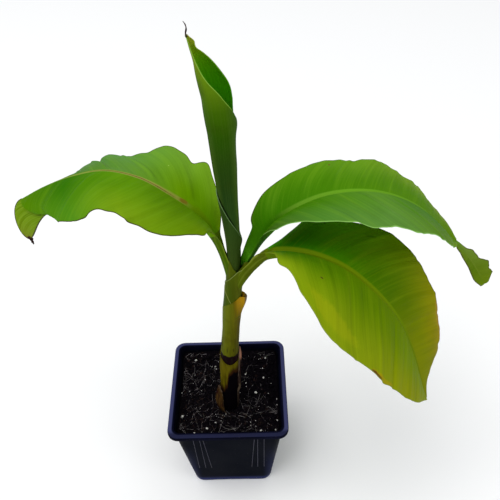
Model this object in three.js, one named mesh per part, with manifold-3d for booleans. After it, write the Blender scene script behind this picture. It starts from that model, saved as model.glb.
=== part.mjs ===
// A young banana plant in a square nursery pot.
// Millimetres, +Z up, origin on the flat underside of the pot, at its middle.
// The plant's leaves reach out along X, and the pot's front wall faces -Y.

import * as THREE from "three";
import { mergeVertices } from "three/addons/utils/BufferGeometryUtils.js";
import Module from "manifold-3d";

const wasm = await Module();
wasm.setup();

// ---------------------------------------------------------------- driving sizes

// Clearance between two pieces that touch on the real plant.
const GAP = 0.3;

// The pot: a thin-walled square nursery pot with a turned-down rim.
const POT_HEIGHT = 88;
const POT_RIM_WIDTH = 90;
const POT_BASE_WIDTH = 64;
const POT_RIM_CORNER = 8;
const POT_BASE_CORNER = 8;
const POT_WALL = 0.9;
const POT_FLOOR = 2.3;
const FLANGE_WIDTH = 4.7;
const SKIRT_DEPTH = 4;
const SKIRT_THICKNESS = 1;
const FOOT_ARCH_LENGTH = 40;
const FOOT_ARCH_HEIGHT = 1.7;
const DRAIN_DIAMETER = 7;
const DRAIN_SPACING = 38;
const WALL_RIB_WIDTH = 0.8;
const WALL_RIB_RELIEF = 0.5;
const WALL_RIB_OFFSETS = [17.5, 21.5, 26.5];
const WALL_RIB_FOOT = 11;
const WALL_RIB_HEAD = 79;

// The compost stands this far under the top of the rim.
const SOIL_DROP = 10;
const SOIL_TOP = POT_HEIGHT - SOIL_DROP;

// The stem, given at even steps from the compost up to the fork of the leaf stalks.
const STEM_TOP = 222;
const STEM_X = [0.2, 1.2, 2, 2.8, 4.3, 5.9, 7.4, 9, 10.2];
const STEM_Y = [-10, -9.8, -9.5, -9.2, -8.8, -8.5, -8.2, -8, -8];
const STEM_RADIUS = [7.2, 6.4, 6.2, 6.5, 6.2, 5.9, 5.9, 5.6, 5.3];
const STEM_SIDES = 16;
const SHEATH_THICKNESS = 0.4;

// The withered lowest sheath ends in a lip with a notch at the front.
const FOOT_LIP_HEIGHT = 139;
const FOOT_LIP_SLOPE = -0.25;
const FOOT_NOTCH_DEPTH = 4;

// The next sheath was cut off at a slant, low on the left and high on the right,
// where its dry point leans out.
const CUT_HEIGHT = 194;
const CUT_SLOPE = 0.8;
const CUT_POINT_REACH = 3.4;
const CUT_POINT_RISE = -2;

// The leaves spread from this upright line, just under the fork.
const FORK_X = 7;
const FORK_Y = -8;

// The rolled young leaf, given at even steps from the fork up to its tip.
const SPEAR_FOOT = STEM_TOP + GAP;
const SPEAR_OPENING = 322;
const SPEAR_TIP = 372;
const SPEAR_X = [10.4, 10.8, 10.1, 9, 8.5, 8.2];
const SPEAR_RADIUS = [3.6, 3.8, 4.5, 5.5, 6.5, 7.6];
const MOUTH_X = [8.2, 7.6, 5.8, 1.9, -4.4];
const MOUTH_RADIUS = [7.7, 8.1, 7.9, 4.9, 0.8];
const MOUTH_FRONT_ANGLE = [172, 122, 78, 40, 25];
const MOUTH_BACK_ANGLE = [172, 176, 172, 165, 160];
const MOUTH_DEPTH = 0.8;

// Leaf blades.
const BLADE_THICKNESS = 0.8;
const MARGIN_THICKNESS = 0.6;
const BEND_GAP = GAP / 2 / 130;

// Each leaf lies in an upright plane that leaves the fork at `bearing` degrees.
// `rib` is the top of its midrib, as [distance out from the fork line, height],
// at even steps from the foot of the blade to its end. `far` is the half behind
// the midrib and `near` the half in front of it. For each half, `width` is its
// width, `lift` the angle in degrees by which its edge stands above level (minus
// where it droops), and `sweep` how far its edge runs ahead of the midrib.
const LEFT_LEAF = {
  name: "leaf_left",
  bearing: 178,
  stalk: [[-4, 212], [-2.8, 224], [0.2, 238], [6, 252]],
  rib: [[6, 252], [16.5, 268], [31, 282], [46, 293], [64, 298], [82, 295], [100, 288], [116, 279]],
  ribDepth: [4.4, 3.4, 2.4, 1.6],
  stalkWidth: 6.4,
  stalkDepth: 6,
  far: {
    width: [6, 27, 37, 42, 39, 33, 27, 19],
    lift: [39, 23, 7, -20, -22, -25, -45, -55],
    sweep: [-2, 3, 10, 4],
  },
  near: {
    width: [6, 25, 38, 41, 37, 36.5, 31.5, 18],
    lift: [16, 11, 6, 3, 4, -7, -15, -29],
    sweep: [7, -3, -9, -17],
  },
  bend: 0.5,
  colour: 0x5f9a1c,
};

const UPPER_RIGHT_LEAF = {
  name: "leaf_upper_right",
  bearing: 8,
  stalk: [[0, 208], [6, 225], [11.5, 237], [22, 250]],
  rib: [[22, 250], [37, 263], [57, 272], [79, 273], [100, 267], [119, 255], [134, 239], [148, 222]],
  ribDepth: [4.6, 3.6, 2.6, 1.6],
  stalkWidth: 7,
  stalkDepth: 6.5,
  far: {
    width: [5.5, 23.5, 31.5, 39, 40.5, 36, 23, 4],
    lift: [49, 14, 2, -6, -3, 0, 5, 13],
    sweep: [-6, 0, 5, 2],
  },
  near: {
    width: [5, 22, 33, 37.5, 39, 34, 20, 4],
    lift: [20, 24, 12, 5, 7, 6, 1, -4],
    sweep: [2, 1, 1, -2],
  },
  bend: 0.5,
  colour: 0x5aa01a,
};

const LOWER_RIGHT_LEAF = {
  name: "leaf_lower_right",
  bearing: -22,
  stalk: [[-1, 204.4], [5, 222.4], [13, 235], [25, 245.4]],
  rib: [[25, 245.4], [48, 252], [71, 249], [91, 236], [107, 218], [118, 196], [126, 174], [133, 151]],
  ribDepth: [6, 4.2, 2.8, 1.6],
  stalkWidth: 7.4,
  stalkDepth: 9,
  far: {
    width: [2.5, 24.5, 36.5, 43, 42.5, 36, 28.5, 2],
    lift: [10, 10, 2, 6, 9, 15, 17, 1],
    sweep: [1, -4, 0, -1],
  },
  near: {
    width: [6, 22, 38, 45.5, 43, 34.5, 22, 2],
    lift: [6, 10, -1, -9, -5, -2, 4, 8],
    sweep: [8, -8, 0, 0],
  },
  bend: 0.43,
  colour: 0x6f8f12,
};

// The small ragged lobe past the narrow neck of the upper right leaf.
const TIP_LOBE = {
  name: "leaf_upper_right_tip",
  bearing: 8,
  rib: [[148.5, 221.6], [155, 214], [161, 206], [167.5, 197], [173, 188], [179, 178]],
  ribDepth: [1, 0.9, 0.8],
  far: {
    width: [3, 2.5, 5, 9, 10.5, 5],
    lift: [20, 60, 75, 80, 80, 80],
    sweep: [0, 0],
  },
  near: {
    width: [3, 2, 2.5, 3, 4, 2.5],
    lift: [-10, -60, -75, -80, -80, -80],
    sweep: [0, 0],
  },
  colour: 0x5a9216,
};

// The hanging tip of the left leaf: its point, and the two bulges of each edge.
const HANGING_TIP = {
  point: [-107.5, -13, 257],
  outer: [[-117.5, -4, 275], [-113, -11, 257]],
  inner: [[-99, -17.5, 272], [-102, -15.5, 262]],
  colour: 0x6b8f1a,
};

// Dried threads that end the left leaf and the rolled leaf.
const THREAD_RADIUS = 0.7;
const THREAD_END_RADIUS = 0.3;
const LEFT_THREAD_END = [-106.8, -13.5, 252];
const SPEAR_THREAD_END = [-6, -8, 380];

// Withered remains of the first sheaths stand round the foot of the stem: a broad
// scale at the front left that bulges away from the stem, a long strip that hugs
// it on the right, and a stub behind. `middle` and `spread` are bearings in degrees.
const HUSK_THICKNESS = 1;
const HUSKS = [
  { name: "husk_left", middle: 215, spread: 96, taper: 0.4, height: 31, bulge: 2.3, lean: 0.9 },
  { name: "husk_right", middle: 356, spread: 60, taper: 0.6, height: 70, bulge: 0, lean: 0.4 },
  { name: "husk_back", middle: 80, spread: 60, taper: 0.35, height: 14, bulge: 0.6, lean: 1.4 },
];
const HUSK_COLOURS = { husk_left: 0x8a5a22, husk_right: 0x7a4a3a, husk_back: 0x3b2418 };

// ---------------------------------------------------------------- small helpers

const plant = new THREE.Group();

function addPiece(name, geometry, colour, roughness) {
  const material = new THREE.MeshStandardMaterial({ color: colour, roughness, metalness: 0 });
  const mesh = new THREE.Mesh(geometry, material);
  mesh.name = name;
  plant.add(mesh);
  return mesh;
}

// A smooth curve through evenly spaced values, read at t from 0 to 1.
function along(values, t) {
  const last = values.length - 1;
  const place = THREE.MathUtils.clamp(t, 0, 1) * last;
  const i = Math.min(Math.floor(place), last - 1);
  const f = place - i;
  const b = values[i];
  const c = values[i + 1];
  const a = i > 0 ? values[i - 1] : 2 * b - c;
  const d = i + 2 <= last ? values[i + 2] : 2 * c - b;
  const bend = (2 * a - 5 * b + 4 * c - d) * f * f;
  const twist = (3 * b - a - 3 * c + d) * f * f * f;
  return 0.5 * (2 * b + (c - a) * f + bend + twist);
}

// A closed skin over a grid of points: `top` and `bottom` are equal grids of
// Vector3, and the four sides between them are closed too.
function slabGeometry(top, bottom) {
  const rows = top.length;
  const columns = top[0].length;
  const corners = [];
  const quad = (a, b, c, d) => {
    corners.push(a, b, c, a, c, d);
  };
  for (let i = 0; i < rows - 1; i += 1) {
    for (let j = 0; j < columns - 1; j += 1) {
      quad(top[i][j], top[i + 1][j], top[i + 1][j + 1], top[i][j + 1]);
      quad(bottom[i][j], bottom[i][j + 1], bottom[i + 1][j + 1], bottom[i + 1][j]);
    }
  }
  for (let i = 0; i < rows - 1; i += 1) {
    const k = columns - 1;
    quad(top[i][0], bottom[i][0], bottom[i + 1][0], top[i + 1][0]);
    quad(top[i + 1][k], bottom[i + 1][k], bottom[i][k], top[i][k]);
  }
  for (let j = 0; j < columns - 1; j += 1) {
    const k = rows - 1;
    quad(top[0][j + 1], bottom[0][j + 1], bottom[0][j], top[0][j]);
    quad(top[k][j], bottom[k][j], bottom[k][j + 1], top[k][j + 1]);
  }
  return closedGeometry(corners);
}

// A closed skin through a stack of rings of Vector3, with both ends capped.
function loftGeometry(rings) {
  const corners = [];
  const sides = rings[0].length;
  const middle = (ring) => {
    const sum = new THREE.Vector3();
    ring.forEach((point) => sum.add(point));
    return sum.divideScalar(ring.length);
  };
  for (let i = 0; i < rings.length - 1; i += 1) {
    for (let j = 0; j < sides; j += 1) {
      const k = (j + 1) % sides;
      corners.push(rings[i][j], rings[i][k], rings[i + 1][k]);
      corners.push(rings[i][j], rings[i + 1][k], rings[i + 1][j]);
    }
  }
  const first = rings[0];
  const last = rings[rings.length - 1];
  for (let j = 0; j < sides; j += 1) {
    const k = (j + 1) % sides;
    corners.push(middle(first), first[k], first[j]);
    corners.push(middle(last), last[j], last[k]);
  }
  return closedGeometry(corners);
}

function closedGeometry(corners) {
  const loose = new THREE.BufferGeometry().setFromPoints(corners);
  const geometry = mergeVertices(loose, 1e-4);
  if (volumeOf(geometry) < 0) {
    flip(geometry);
  }
  return geometry;
}

function volumeOf(geometry) {
  const place = geometry.getAttribute("position");
  const index = geometry.getIndex();
  const a = new THREE.Vector3();
  const b = new THREE.Vector3();
  const c = new THREE.Vector3();
  let sum = 0;
  for (let i = 0; i < index.count; i += 3) {
    a.fromBufferAttribute(place, index.getX(i));
    b.fromBufferAttribute(place, index.getX(i + 1));
    c.fromBufferAttribute(place, index.getX(i + 2));
    sum += a.dot(b.cross(c)) / 6;
  }
  return sum;
}

function flip(geometry) {
  const index = geometry.getIndex();
  for (let i = 0; i < index.count; i += 3) {
    const second = index.getX(i + 1);
    index.setX(i + 1, index.getX(i + 2));
    index.setX(i + 2, second);
  }
}

function solidOf(geometry) {
  const plain = geometry.index ? geometry.clone() : mergeVertices(geometry);
  plain.deleteAttribute("normal");
  plain.deleteAttribute("uv");
  const merged = mergeVertices(plain, 1e-4);
  const vertProperties = new Float32Array(merged.getAttribute("position").array);
  const triVerts = new Uint32Array(merged.getIndex().array);
  return new wasm.Manifold(new wasm.Mesh({ numProp: 3, vertProperties, triVerts }));
}

function geometryOf(solid) {
  const mesh = solid.getMesh();
  const geometry = new THREE.BufferGeometry();
  geometry.setAttribute("position", new THREE.BufferAttribute(mesh.vertProperties, 3));
  geometry.setIndex(new THREE.BufferAttribute(mesh.triVerts, 1));
  return geometry;
}

// What is left of a solid after a cut can be in bits: keep the largest.
function largestBit(solid) {
  const bits = solid.decompose();
  bits.sort((a, b) => b.volume() - a.volume());
  return bits[0];
}

// ---------------------------------------------------------------- pot

// A square with round corners at height z, walked the same way for every width.
function squareRing(width, corner, z) {
  const ring = [];
  const steps = 5;
  const reach = width / 2 - corner;
  for (let side = 0; side < 4; side += 1) {
    const start = side * 90;
    const cx = reach * (side === 0 || side === 3 ? 1 : -1);
    const cy = reach * (side < 2 ? 1 : -1);
    for (let i = 0; i <= steps; i += 1) {
      const angle = THREE.MathUtils.degToRad(start + (90 * i) / steps);
      ring.push(new THREE.Vector3(cx + corner * Math.cos(angle), cy + corner * Math.sin(angle), z));
    }
  }
  return ring;
}

// The body narrows evenly from under the rim to the foot.
function wallWidth(z) {
  const topWidth = POT_RIM_WIDTH - 2 * FLANGE_WIDTH + 2 * POT_WALL;
  return THREE.MathUtils.lerp(POT_BASE_WIDTH, topWidth, z / POT_HEIGHT);
}

function wallCorner(z) {
  return THREE.MathUtils.lerp(POT_BASE_CORNER, POT_RIM_CORNER - FLANGE_WIDTH / 2, z / POT_HEIGHT);
}

function potRings() {
  const skirtFoot = POT_HEIGHT - SKIRT_DEPTH;
  const flangeUnderside = POT_HEIGHT - SKIRT_THICKNESS;
  const outer = (z, shrink = 0) => squareRing(wallWidth(z) - shrink, wallCorner(z), z);
  const inner = (z) => squareRing(wallWidth(z) - 2 * POT_WALL, wallCorner(z) - POT_WALL, z);
  const rim = (z, inset) => squareRing(POT_RIM_WIDTH - 2 * inset, POT_RIM_CORNER - inset, z);
  return [
    outer(0, 1),
    outer(0.5),
    outer(30),
    outer(60),
    outer(flangeUnderside),
    rim(flangeUnderside, SKIRT_THICKNESS),
    rim(skirtFoot, SKIRT_THICKNESS),
    rim(skirtFoot, 0),
    rim(POT_HEIGHT - 0.6, 0),
    rim(POT_HEIGHT, 0.6),
    squareRing(wallWidth(POT_HEIGHT) - 1.2 * POT_WALL, wallCorner(POT_HEIGHT), POT_HEIGHT),
    inner(POT_HEIGHT - 0.6),
    inner(60),
    inner(30),
    inner(POT_FLOOR),
  ];
}

// Three fine upright ribs stand on each wall, on either side of its middle.
function wallRibs() {
  const length = WALL_RIB_HEAD - WALL_RIB_FOOT;
  const middle = (WALL_RIB_HEAD + WALL_RIB_FOOT) / 2;
  const slope = Math.atan2((wallWidth(WALL_RIB_HEAD) - wallWidth(WALL_RIB_FOOT)) / 2, length);
  const ribs = [];
  for (let wall = 0; wall < 4; wall += 1) {
    for (const side of [-1, 1]) {
      for (const offset of WALL_RIB_OFFSETS) {
        const rib = new THREE.BoxGeometry(WALL_RIB_WIDTH, 2 * WALL_RIB_RELIEF, length);
        rib.rotateX(slope);
        rib.translate(side * offset, -wallWidth(middle) / 2, middle);
        rib.rotateZ((wall * Math.PI) / 2);
        ribs.push(rib);
      }
    }
  }
  return ribs;
}

// Holes that let water out, and the shallow arch under each wall.
function potCuts() {
  const cuts = [];
  const half = DRAIN_SPACING / 2;
  for (const x of [-half, half]) {
    for (const y of [-half, half]) {
      const drain = new THREE.CylinderGeometry(DRAIN_DIAMETER / 2, DRAIN_DIAMETER / 2, 12, 20);
      drain.rotateX(Math.PI / 2);
      drain.translate(x, y, 0);
      cuts.push(drain);
    }
  }
  for (let wall = 0; wall < 4; wall += 1) {
    const arch = new THREE.CylinderGeometry(1, 1, 8, 24);
    arch.scale(FOOT_ARCH_LENGTH / 2, 1, FOOT_ARCH_HEIGHT);
    arch.translate(0, -POT_BASE_WIDTH / 2, 0);
    arch.rotateZ((wall * Math.PI) / 2);
    cuts.push(arch);
  }
  return cuts;
}

function buildPot() {
  let pot = solidOf(loftGeometry(potRings()));
  for (const rib of wallRibs()) {
    pot = pot.add(solidOf(rib));
  }
  for (const cut of potCuts()) {
    pot = pot.subtract(solidOf(cut));
  }
  addPiece("pot", geometryOf(pot), 0x14172b, 0.45);
}

function buildCompost() {
  const clear = 2 * (POT_WALL + GAP);
  const ring = (z) => squareRing(wallWidth(z) - clear, wallCorner(z) - POT_WALL - GAP, z);
  const rings = [ring(POT_FLOOR + GAP), ring(30), ring(60), ring(SOIL_TOP)];
  addPiece("compost", loftGeometry(rings), 0x17120e, 0.95);
}

// ---------------------------------------------------------------- stem

function stemStation(z) {
  const t = (z - SOIL_TOP) / (STEM_TOP - SOIL_TOP);
  return {
    x: along(STEM_X, t),
    y: along(STEM_Y, t),
    radius: along(STEM_RADIUS, t),
  };
}

// A ring round the stem. `shape(angle)` says how far a point of the ring stands
// out past the stem's own radius, and how far above the height z.
function stemRing(z, grow, shape = () => ({ reach: 0, rise: 0 })) {
  const { x, y, radius } = stemStation(z);
  const ring = [];
  for (let i = 0; i < STEM_SIDES; i += 1) {
    const angle = (2 * Math.PI * i) / STEM_SIDES;
    const { reach, rise } = shape(angle, radius);
    const r = radius + grow + reach;
    ring.push(new THREE.Vector3(x + r * Math.cos(angle), y + r * Math.sin(angle), z + rise));
  }
  return ring;
}

// The notched lip of the lowest sheath. `share` fades it out to a level ring.
function footLip(share) {
  return (angle, radius) => {
    const notch = FOOT_NOTCH_DEPTH * Math.max(0, -Math.sin(angle)) ** 3;
    return { reach: 0, rise: share * (FOOT_LIP_SLOPE * radius * Math.cos(angle) - notch) };
  };
}

// The slanted cut with its point on the right.
function slantedCut(share) {
  return (angle, radius) => {
    const point = Math.max(0, Math.cos(angle)) ** 8;
    const slant = CUT_SLOPE * radius * Math.cos(angle) + CUT_POINT_RISE * point;
    return { reach: share * CUT_POINT_REACH * point, rise: share * slant };
  };
}

function buildStem() {
  const foot = [SOIL_TOP + GAP, 90, 102, 114, 124, 131].map((z) => stemRing(z, SHEATH_THICKNESS));
  foot.push(stemRing(FOOT_LIP_HEIGHT, SHEATH_THICKNESS, footLip(1)));
  addPiece("stem_foot", loftGeometry(foot), 0x6f6a1c, 0.6);

  const middle = [stemRing(FOOT_LIP_HEIGHT + GAP, 0, footLip(1))];
  middle.push(stemRing(148, 0));
  middle.push(stemRing(160, 0));
  middle.push(stemRing(172, 0));
  middle.push(stemRing(184, 0.2, slantedCut(0.4)));
  middle.push(stemRing(CUT_HEIGHT, SHEATH_THICKNESS, slantedCut(1)));
  addPiece("stem_cut_sheath", loftGeometry(middle), 0x8a9a2a, 0.5);

  const upper = [stemRing(CUT_HEIGHT + 2 * GAP, -0.2, slantedCut(1))];
  upper.push(stemRing(CUT_HEIGHT + 9, -0.2, slantedCut(0.2)));
  upper.push(stemRing(210, 0));
  upper.push(stemRing(216, 0));
  upper.push(stemRing(STEM_TOP, -0.2));
  addPiece("stem_inner_sheaths", loftGeometry(upper), 0x6f9a2a, 0.45);
}

// The whole stem as one body, a little fat, that the stalks are cut against.
function stemCutter() {
  const rings = [160, 180, 195, 210, STEM_TOP].map((z) => stemRing(z, SHEATH_THICKNESS + GAP));
  const cap = stemRing(STEM_TOP, SHEATH_THICKNESS + GAP);
  rings.push(cap.map((point) => point.clone().setZ(STEM_TOP + GAP)));
  return solidOf(loftGeometry(rings));
}

// Each husk is a thin shell round part of the stem, ragged at its top. It stands off
// the stem by `bulge` at half its height and by `lean` at its tip.
function buildHusks() {
  const columns = 8;
  for (const husk of HUSKS) {
    const inside = [];
    const outside = [];
    const rows = Math.round(husk.height / 6) + 2;
    for (let i = 0; i <= rows; i += 1) {
      const up = i / rows;
      const innerRow = [];
      const outerRow = [];
      for (let j = 0; j <= columns; j += 1) {
        const across = j / columns - 0.5;
        const narrow = 1 - husk.taper * up;
        const angle = THREE.MathUtils.degToRad(husk.middle + husk.spread * across * narrow);
        const ragged = 1 - 0.5 * (2 * across) ** 2 - 0.12 * ((j * 5) % 3);
        const z = SOIL_TOP + GAP + husk.height * up * ragged;
        const { x, y, radius } = stemStation(z);
        const off = husk.bulge * 4 * up * (1 - up) + husk.lean * up * up;
        const r = radius + SHEATH_THICKNESS + GAP + off;
        innerRow.push(new THREE.Vector3(x + r * Math.cos(angle), y + r * Math.sin(angle), z));
        const thick = r + HUSK_THICKNESS;
        outerRow.push(new THREE.Vector3(x + thick * Math.cos(angle), y + thick * Math.sin(angle), z));
      }
      inside.push(innerRow);
      outside.push(outerRow);
    }
    addPiece(husk.name, slabGeometry(outside, inside), HUSK_COLOURS[husk.name], 0.8);
  }
}

// ---------------------------------------------------------------- rolled young leaf

function spearRing(t, grow) {
  const x = along(SPEAR_X, t);
  const radius = along(SPEAR_RADIUS, t) + grow;
  const z = THREE.MathUtils.lerp(SPEAR_FOOT, SPEAR_OPENING, t);
  const ring = [];
  for (let i = 0; i < STEM_SIDES; i += 1) {
    const angle = (2 * Math.PI * i) / STEM_SIDES;
    ring.push(new THREE.Vector3(x + radius * Math.cos(angle), FORK_Y + radius * Math.sin(angle), z));
  }
  return ring;
}

function spearGeometry(grow) {
  const rings = [];
  const steps = 8;
  for (let i = 0; i <= steps; i += 1) {
    rings.push(spearRing(i / steps, grow));
  }
  return loftGeometry(rings);
}

// Near its top the rolled leaf gapes: a curled sheet that is open at the front
// right, between its front edge and its back edge. Angles run from the left.
function buildSpearMouth() {
  const rows = 12;
  const columns = 16;
  const outside = [];
  const inside = [];
  for (let i = 0; i <= rows; i += 1) {
    const t = i / rows;
    const x = along(MOUTH_X, t);
    const radius = along(MOUTH_RADIUS, t);
    const z = THREE.MathUtils.lerp(SPEAR_OPENING + GAP, SPEAR_TIP, t);
    const front = along(MOUTH_FRONT_ANGLE, t);
    const back = along(MOUTH_BACK_ANGLE, t);
    const outerRow = [];
    const innerRow = [];
    for (let j = 0; j <= columns; j += 1) {
      const degrees = THREE.MathUtils.lerp(-back, front, j / columns);
      const angle = THREE.MathUtils.degToRad(degrees);
      const dx = -Math.cos(angle);
      const dy = -Math.sin(angle);
      const hollow = Math.max(radius - MOUTH_DEPTH, 0.2);
      outerRow.push(new THREE.Vector3(x + radius * dx, FORK_Y + radius * dy, z));
      innerRow.push(new THREE.Vector3(x + hollow * dx, FORK_Y + hollow * dy, z));
    }
    outside.push(outerRow);
    inside.push(innerRow);
  }
  addPiece("leaf_rolled_mouth", slabGeometry(outside, inside), 0x3f8a12, 0.5);
}

function buildSpear() {
  addPiece("leaf_rolled", spearGeometry(0), 0x2f6a2a, 0.5);
  buildSpearMouth();
}

// ---------------------------------------------------------------- leaf stalks and blades

function leafFrame(leaf, line, t) {
  const bearing = THREE.MathUtils.degToRad(leaf.bearing);
  const out = new THREE.Vector3(Math.cos(bearing), Math.sin(bearing), 0);
  const side = new THREE.Vector3(-out.y, out.x, 0);
  if (side.y < 0) {
    side.negate();
  }
  const outs = line.map((station) => station[0]);
  const heights = line.map((station) => station[1]);
  const place = (s) => {
    const r = along(outs, s);
    return new THREE.Vector3(FORK_X + r * out.x, FORK_Y + r * out.y, along(heights, s));
  };
  const step = 1e-3;
  const ahead = place(Math.min(t + step, 1)).sub(place(Math.max(t - step, 0))).normalize();
  const up = new THREE.Vector3().crossVectors(ahead, side);
  if (new THREE.Vector3().crossVectors(out, side).z < 0) {
    up.negate();
  }
  return { place: place(t), ahead, side, up };
}

// A stalk is a gutter: round below, with a shallow channel along its top.
function stalkRing(leaf, t, grow) {
  const frame = leafFrame(leaf, leaf.stalk, t);
  const half = leaf.stalkWidth / 2 + grow;
  const depth = THREE.MathUtils.lerp(leaf.stalkDepth, leaf.ribDepth[0] + 0.5, t) + grow;
  const lip = 0.6 + grow;
  const across = [];
  for (const x of [1, 0.5, 0, -0.5, -1]) {
    across.push([x * half, lip * (2 * x * x - 1) * (1 - t) + grow]);
  }
  for (let i = 1; i < 8; i += 1) {
    const angle = Math.PI + (Math.PI * i) / 8;
    across.push([half * Math.cos(angle), depth * Math.sin(angle)]);
  }
  return across.map(([x, y]) => {
    const point = frame.place.clone();
    point.addScaledVector(frame.side, x);
    point.addScaledVector(frame.up, y);
    return point;
  });
}

function stalkGeometry(leaf, grow) {
  const rings = [];
  const steps = 10;
  for (let i = 0; i <= steps; i += 1) {
    const t = i / steps;
    rings.push(stalkRing(leaf, t * (1 - 0.02), grow));
  }
  return loftGeometry(rings);
}

// The middle surface of a blade at t along it, `across` from -1 (near edge) to 1.
function bladePoint(leaf, t, across) {
  const frame = leafFrame(leaf, leaf.rib, t);
  const half = across > 0 ? leaf.far : leaf.near;
  const sign = across > 0 ? 1 : -1;
  const share = Math.abs(across);
  const width = Math.max(along(half.width, t), 0.8);
  const lift = THREE.MathUtils.degToRad(along(half.lift, t));
  const sweep = along(half.sweep, t);
  const point = frame.place.clone();
  point.addScaledVector(frame.side, sign * width * share * Math.cos(lift));
  point.addScaledVector(frame.up, width * share * Math.sin(lift));
  point.addScaledVector(frame.ahead, sweep * share * share);
  return point;
}

// Thickens a grid of points downwards. `depth(i, j)` is the thickness there.
function thickened(grid, depth) {
  const rows = grid.length;
  const columns = grid[0].length;
  return grid.map((row, i) =>
    row.map((point, j) => {
      const before = grid[Math.max(i - 1, 0)][j];
      const after = grid[Math.min(i + 1, rows - 1)][j];
      const left = grid[i][Math.max(j - 1, 0)];
      const right = grid[i][Math.min(j + 1, columns - 1)];
      const run = after.clone().sub(before);
      const cross = right.clone().sub(left);
      const down = new THREE.Vector3().crossVectors(run, cross).normalize();
      return point.clone().addScaledVector(down, depth(i, j));
    }),
  );
}

const ACROSS = [1, 0.8, 0.55, 0.3, 0.08, 0, -0.08, -0.3, -0.55, -0.8, -1];

// A blade from one place along it to another. `grow` fattens it on both faces.
function bladeGeometry(leaf, from, to, rows, grow = 0) {
  const grid = [];
  for (let i = 0; i <= rows; i += 1) {
    const t = THREE.MathUtils.lerp(from, to, i / rows);
    grid.push(ACROSS.map((across) => bladePoint(leaf, t, across)));
  }
  const downwards = leaf.bearing > 90 ? -1 : 1;
  const depth = (i, j) => {
    const t = THREE.MathUtils.lerp(from, to, i / rows);
    if (ACROSS[j] === 0) {
      return downwards * (along(leaf.ribDepth, t) + grow);
    }
    const edge = Math.abs(ACROSS[j]) === 1;
    return downwards * ((edge ? MARGIN_THICKNESS : BLADE_THICKNESS) + grow);
  };
  const top = thickened(grid, () => -downwards * grow);
  return slabGeometry(top, thickened(grid, depth));
}

// Each blade is in two pieces that meet where it arches over, and its foot is
// cut to fit round its stalk.
function buildLeaf(leaf) {
  const inner = solidOf(bladeGeometry(leaf, 0, leaf.bend - BEND_GAP, 10));
  const fitted = largestBit(inner.subtract(solidOf(stalkGeometry(leaf, GAP))));
  const outer = bladeGeometry(leaf, leaf.bend + BEND_GAP, 1 - 2 * BEND_GAP, 11);
  addPiece(`${leaf.name}_inner`, geometryOf(fitted), leaf.colour, 0.5);
  addPiece(`${leaf.name}_outer`, outer, leaf.colour, 0.5);
}

// The stalks come out between the rolled leaf and the stem's sheaths, and each
// is cut to fit against them and against the stalks already there.
function buildStalks() {
  let taken = stemCutter().add(solidOf(spearGeometry(GAP)));
  for (const leaf of [LEFT_LEAF, UPPER_RIGHT_LEAF, LOWER_RIGHT_LEAF]) {
    const whole = solidOf(stalkGeometry(leaf, 0));
    const fitted = largestBit(whole.subtract(taken));
    const name = leaf.name.replace("leaf", "stalk");
    addPiece(name, geometryOf(fitted), 0x6f9a22, 0.45);
    taken = taken.add(solidOf(stalkGeometry(leaf, GAP)));
  }
}

function bezier(start, bulges, end, t) {
  const [first, second] = bulges.map((values) => new THREE.Vector3(...values));
  return new THREE.CubicBezierCurve3(start, first, second, end).getPoint(t);
}

// The end of the left leaf folds down from its last edge line and hangs.
function buildHangingTip() {
  const rows = 7;
  const columns = 5;
  const outerStart = bladePoint(LEFT_LEAF, 1, 0);
  const innerStart = bladePoint(LEFT_LEAF, 1, -1);
  const point = new THREE.Vector3(...HANGING_TIP.point);
  const grid = [];
  for (let i = 0; i <= rows; i += 1) {
    const t = THREE.MathUtils.lerp(0.07, 0.97, i / rows);
    const left = bezier(outerStart, HANGING_TIP.outer, point, t);
    const right = bezier(innerStart, HANGING_TIP.inner, point, t);
    const row = [];
    for (let j = 0; j <= columns; j += 1) {
      row.push(left.clone().lerp(right, j / columns));
    }
    grid.push(row);
  }
  const back = thickened(grid, () => BLADE_THICKNESS);
  const blade = solidOf(bladeGeometry(LEFT_LEAF, LEFT_LEAF.bend, 1, 11, GAP));
  const plainBlade = solidOf(bladeGeometry(LEFT_LEAF, LEFT_LEAF.bend, 1, 11));
  const hanging = solidOf(slabGeometry(grid, back));
  const tip = largestBit(hanging.subtract(blade).subtract(plainBlade));
  addPiece("leaf_left_tip", geometryOf(tip), HANGING_TIP.colour, 0.55);
}

function buildThread(name, start, end, colour) {
  const ahead = end.clone().sub(start).normalize();
  const side = new THREE.Vector3(0, 1, 0);
  const across = new THREE.Vector3().crossVectors(ahead, side).normalize();
  const rings = [];
  for (let i = 0; i <= 3; i += 1) {
    const centre = start.clone().lerp(end, i / 3);
    const radius = THREE.MathUtils.lerp(THREAD_RADIUS, THREAD_END_RADIUS, i / 3);
    const ring = [];
    for (let j = 0; j < 6; j += 1) {
      const angle = (Math.PI * j) / 3;
      const point = centre.clone();
      point.addScaledVector(side, radius * Math.sin(angle));
      point.addScaledVector(across, radius * Math.cos(angle));
      ring.push(point);
    }
    rings.push(ring);
  }
  addPiece(name, loftGeometry(rings), colour, 0.8);
}

// ---------------------------------------------------------------- the plant, from the foot up

buildPot();
buildCompost();
buildHusks();
buildStem();
buildSpear();
buildStalks();
buildLeaf(LEFT_LEAF);
buildHangingTip();
buildLeaf(UPPER_RIGHT_LEAF);
addPiece(TIP_LOBE.name, bladeGeometry(TIP_LOBE, 0.01, 1, 8), TIP_LOBE.colour, 0.55);
buildLeaf(LOWER_RIGHT_LEAF);

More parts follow.
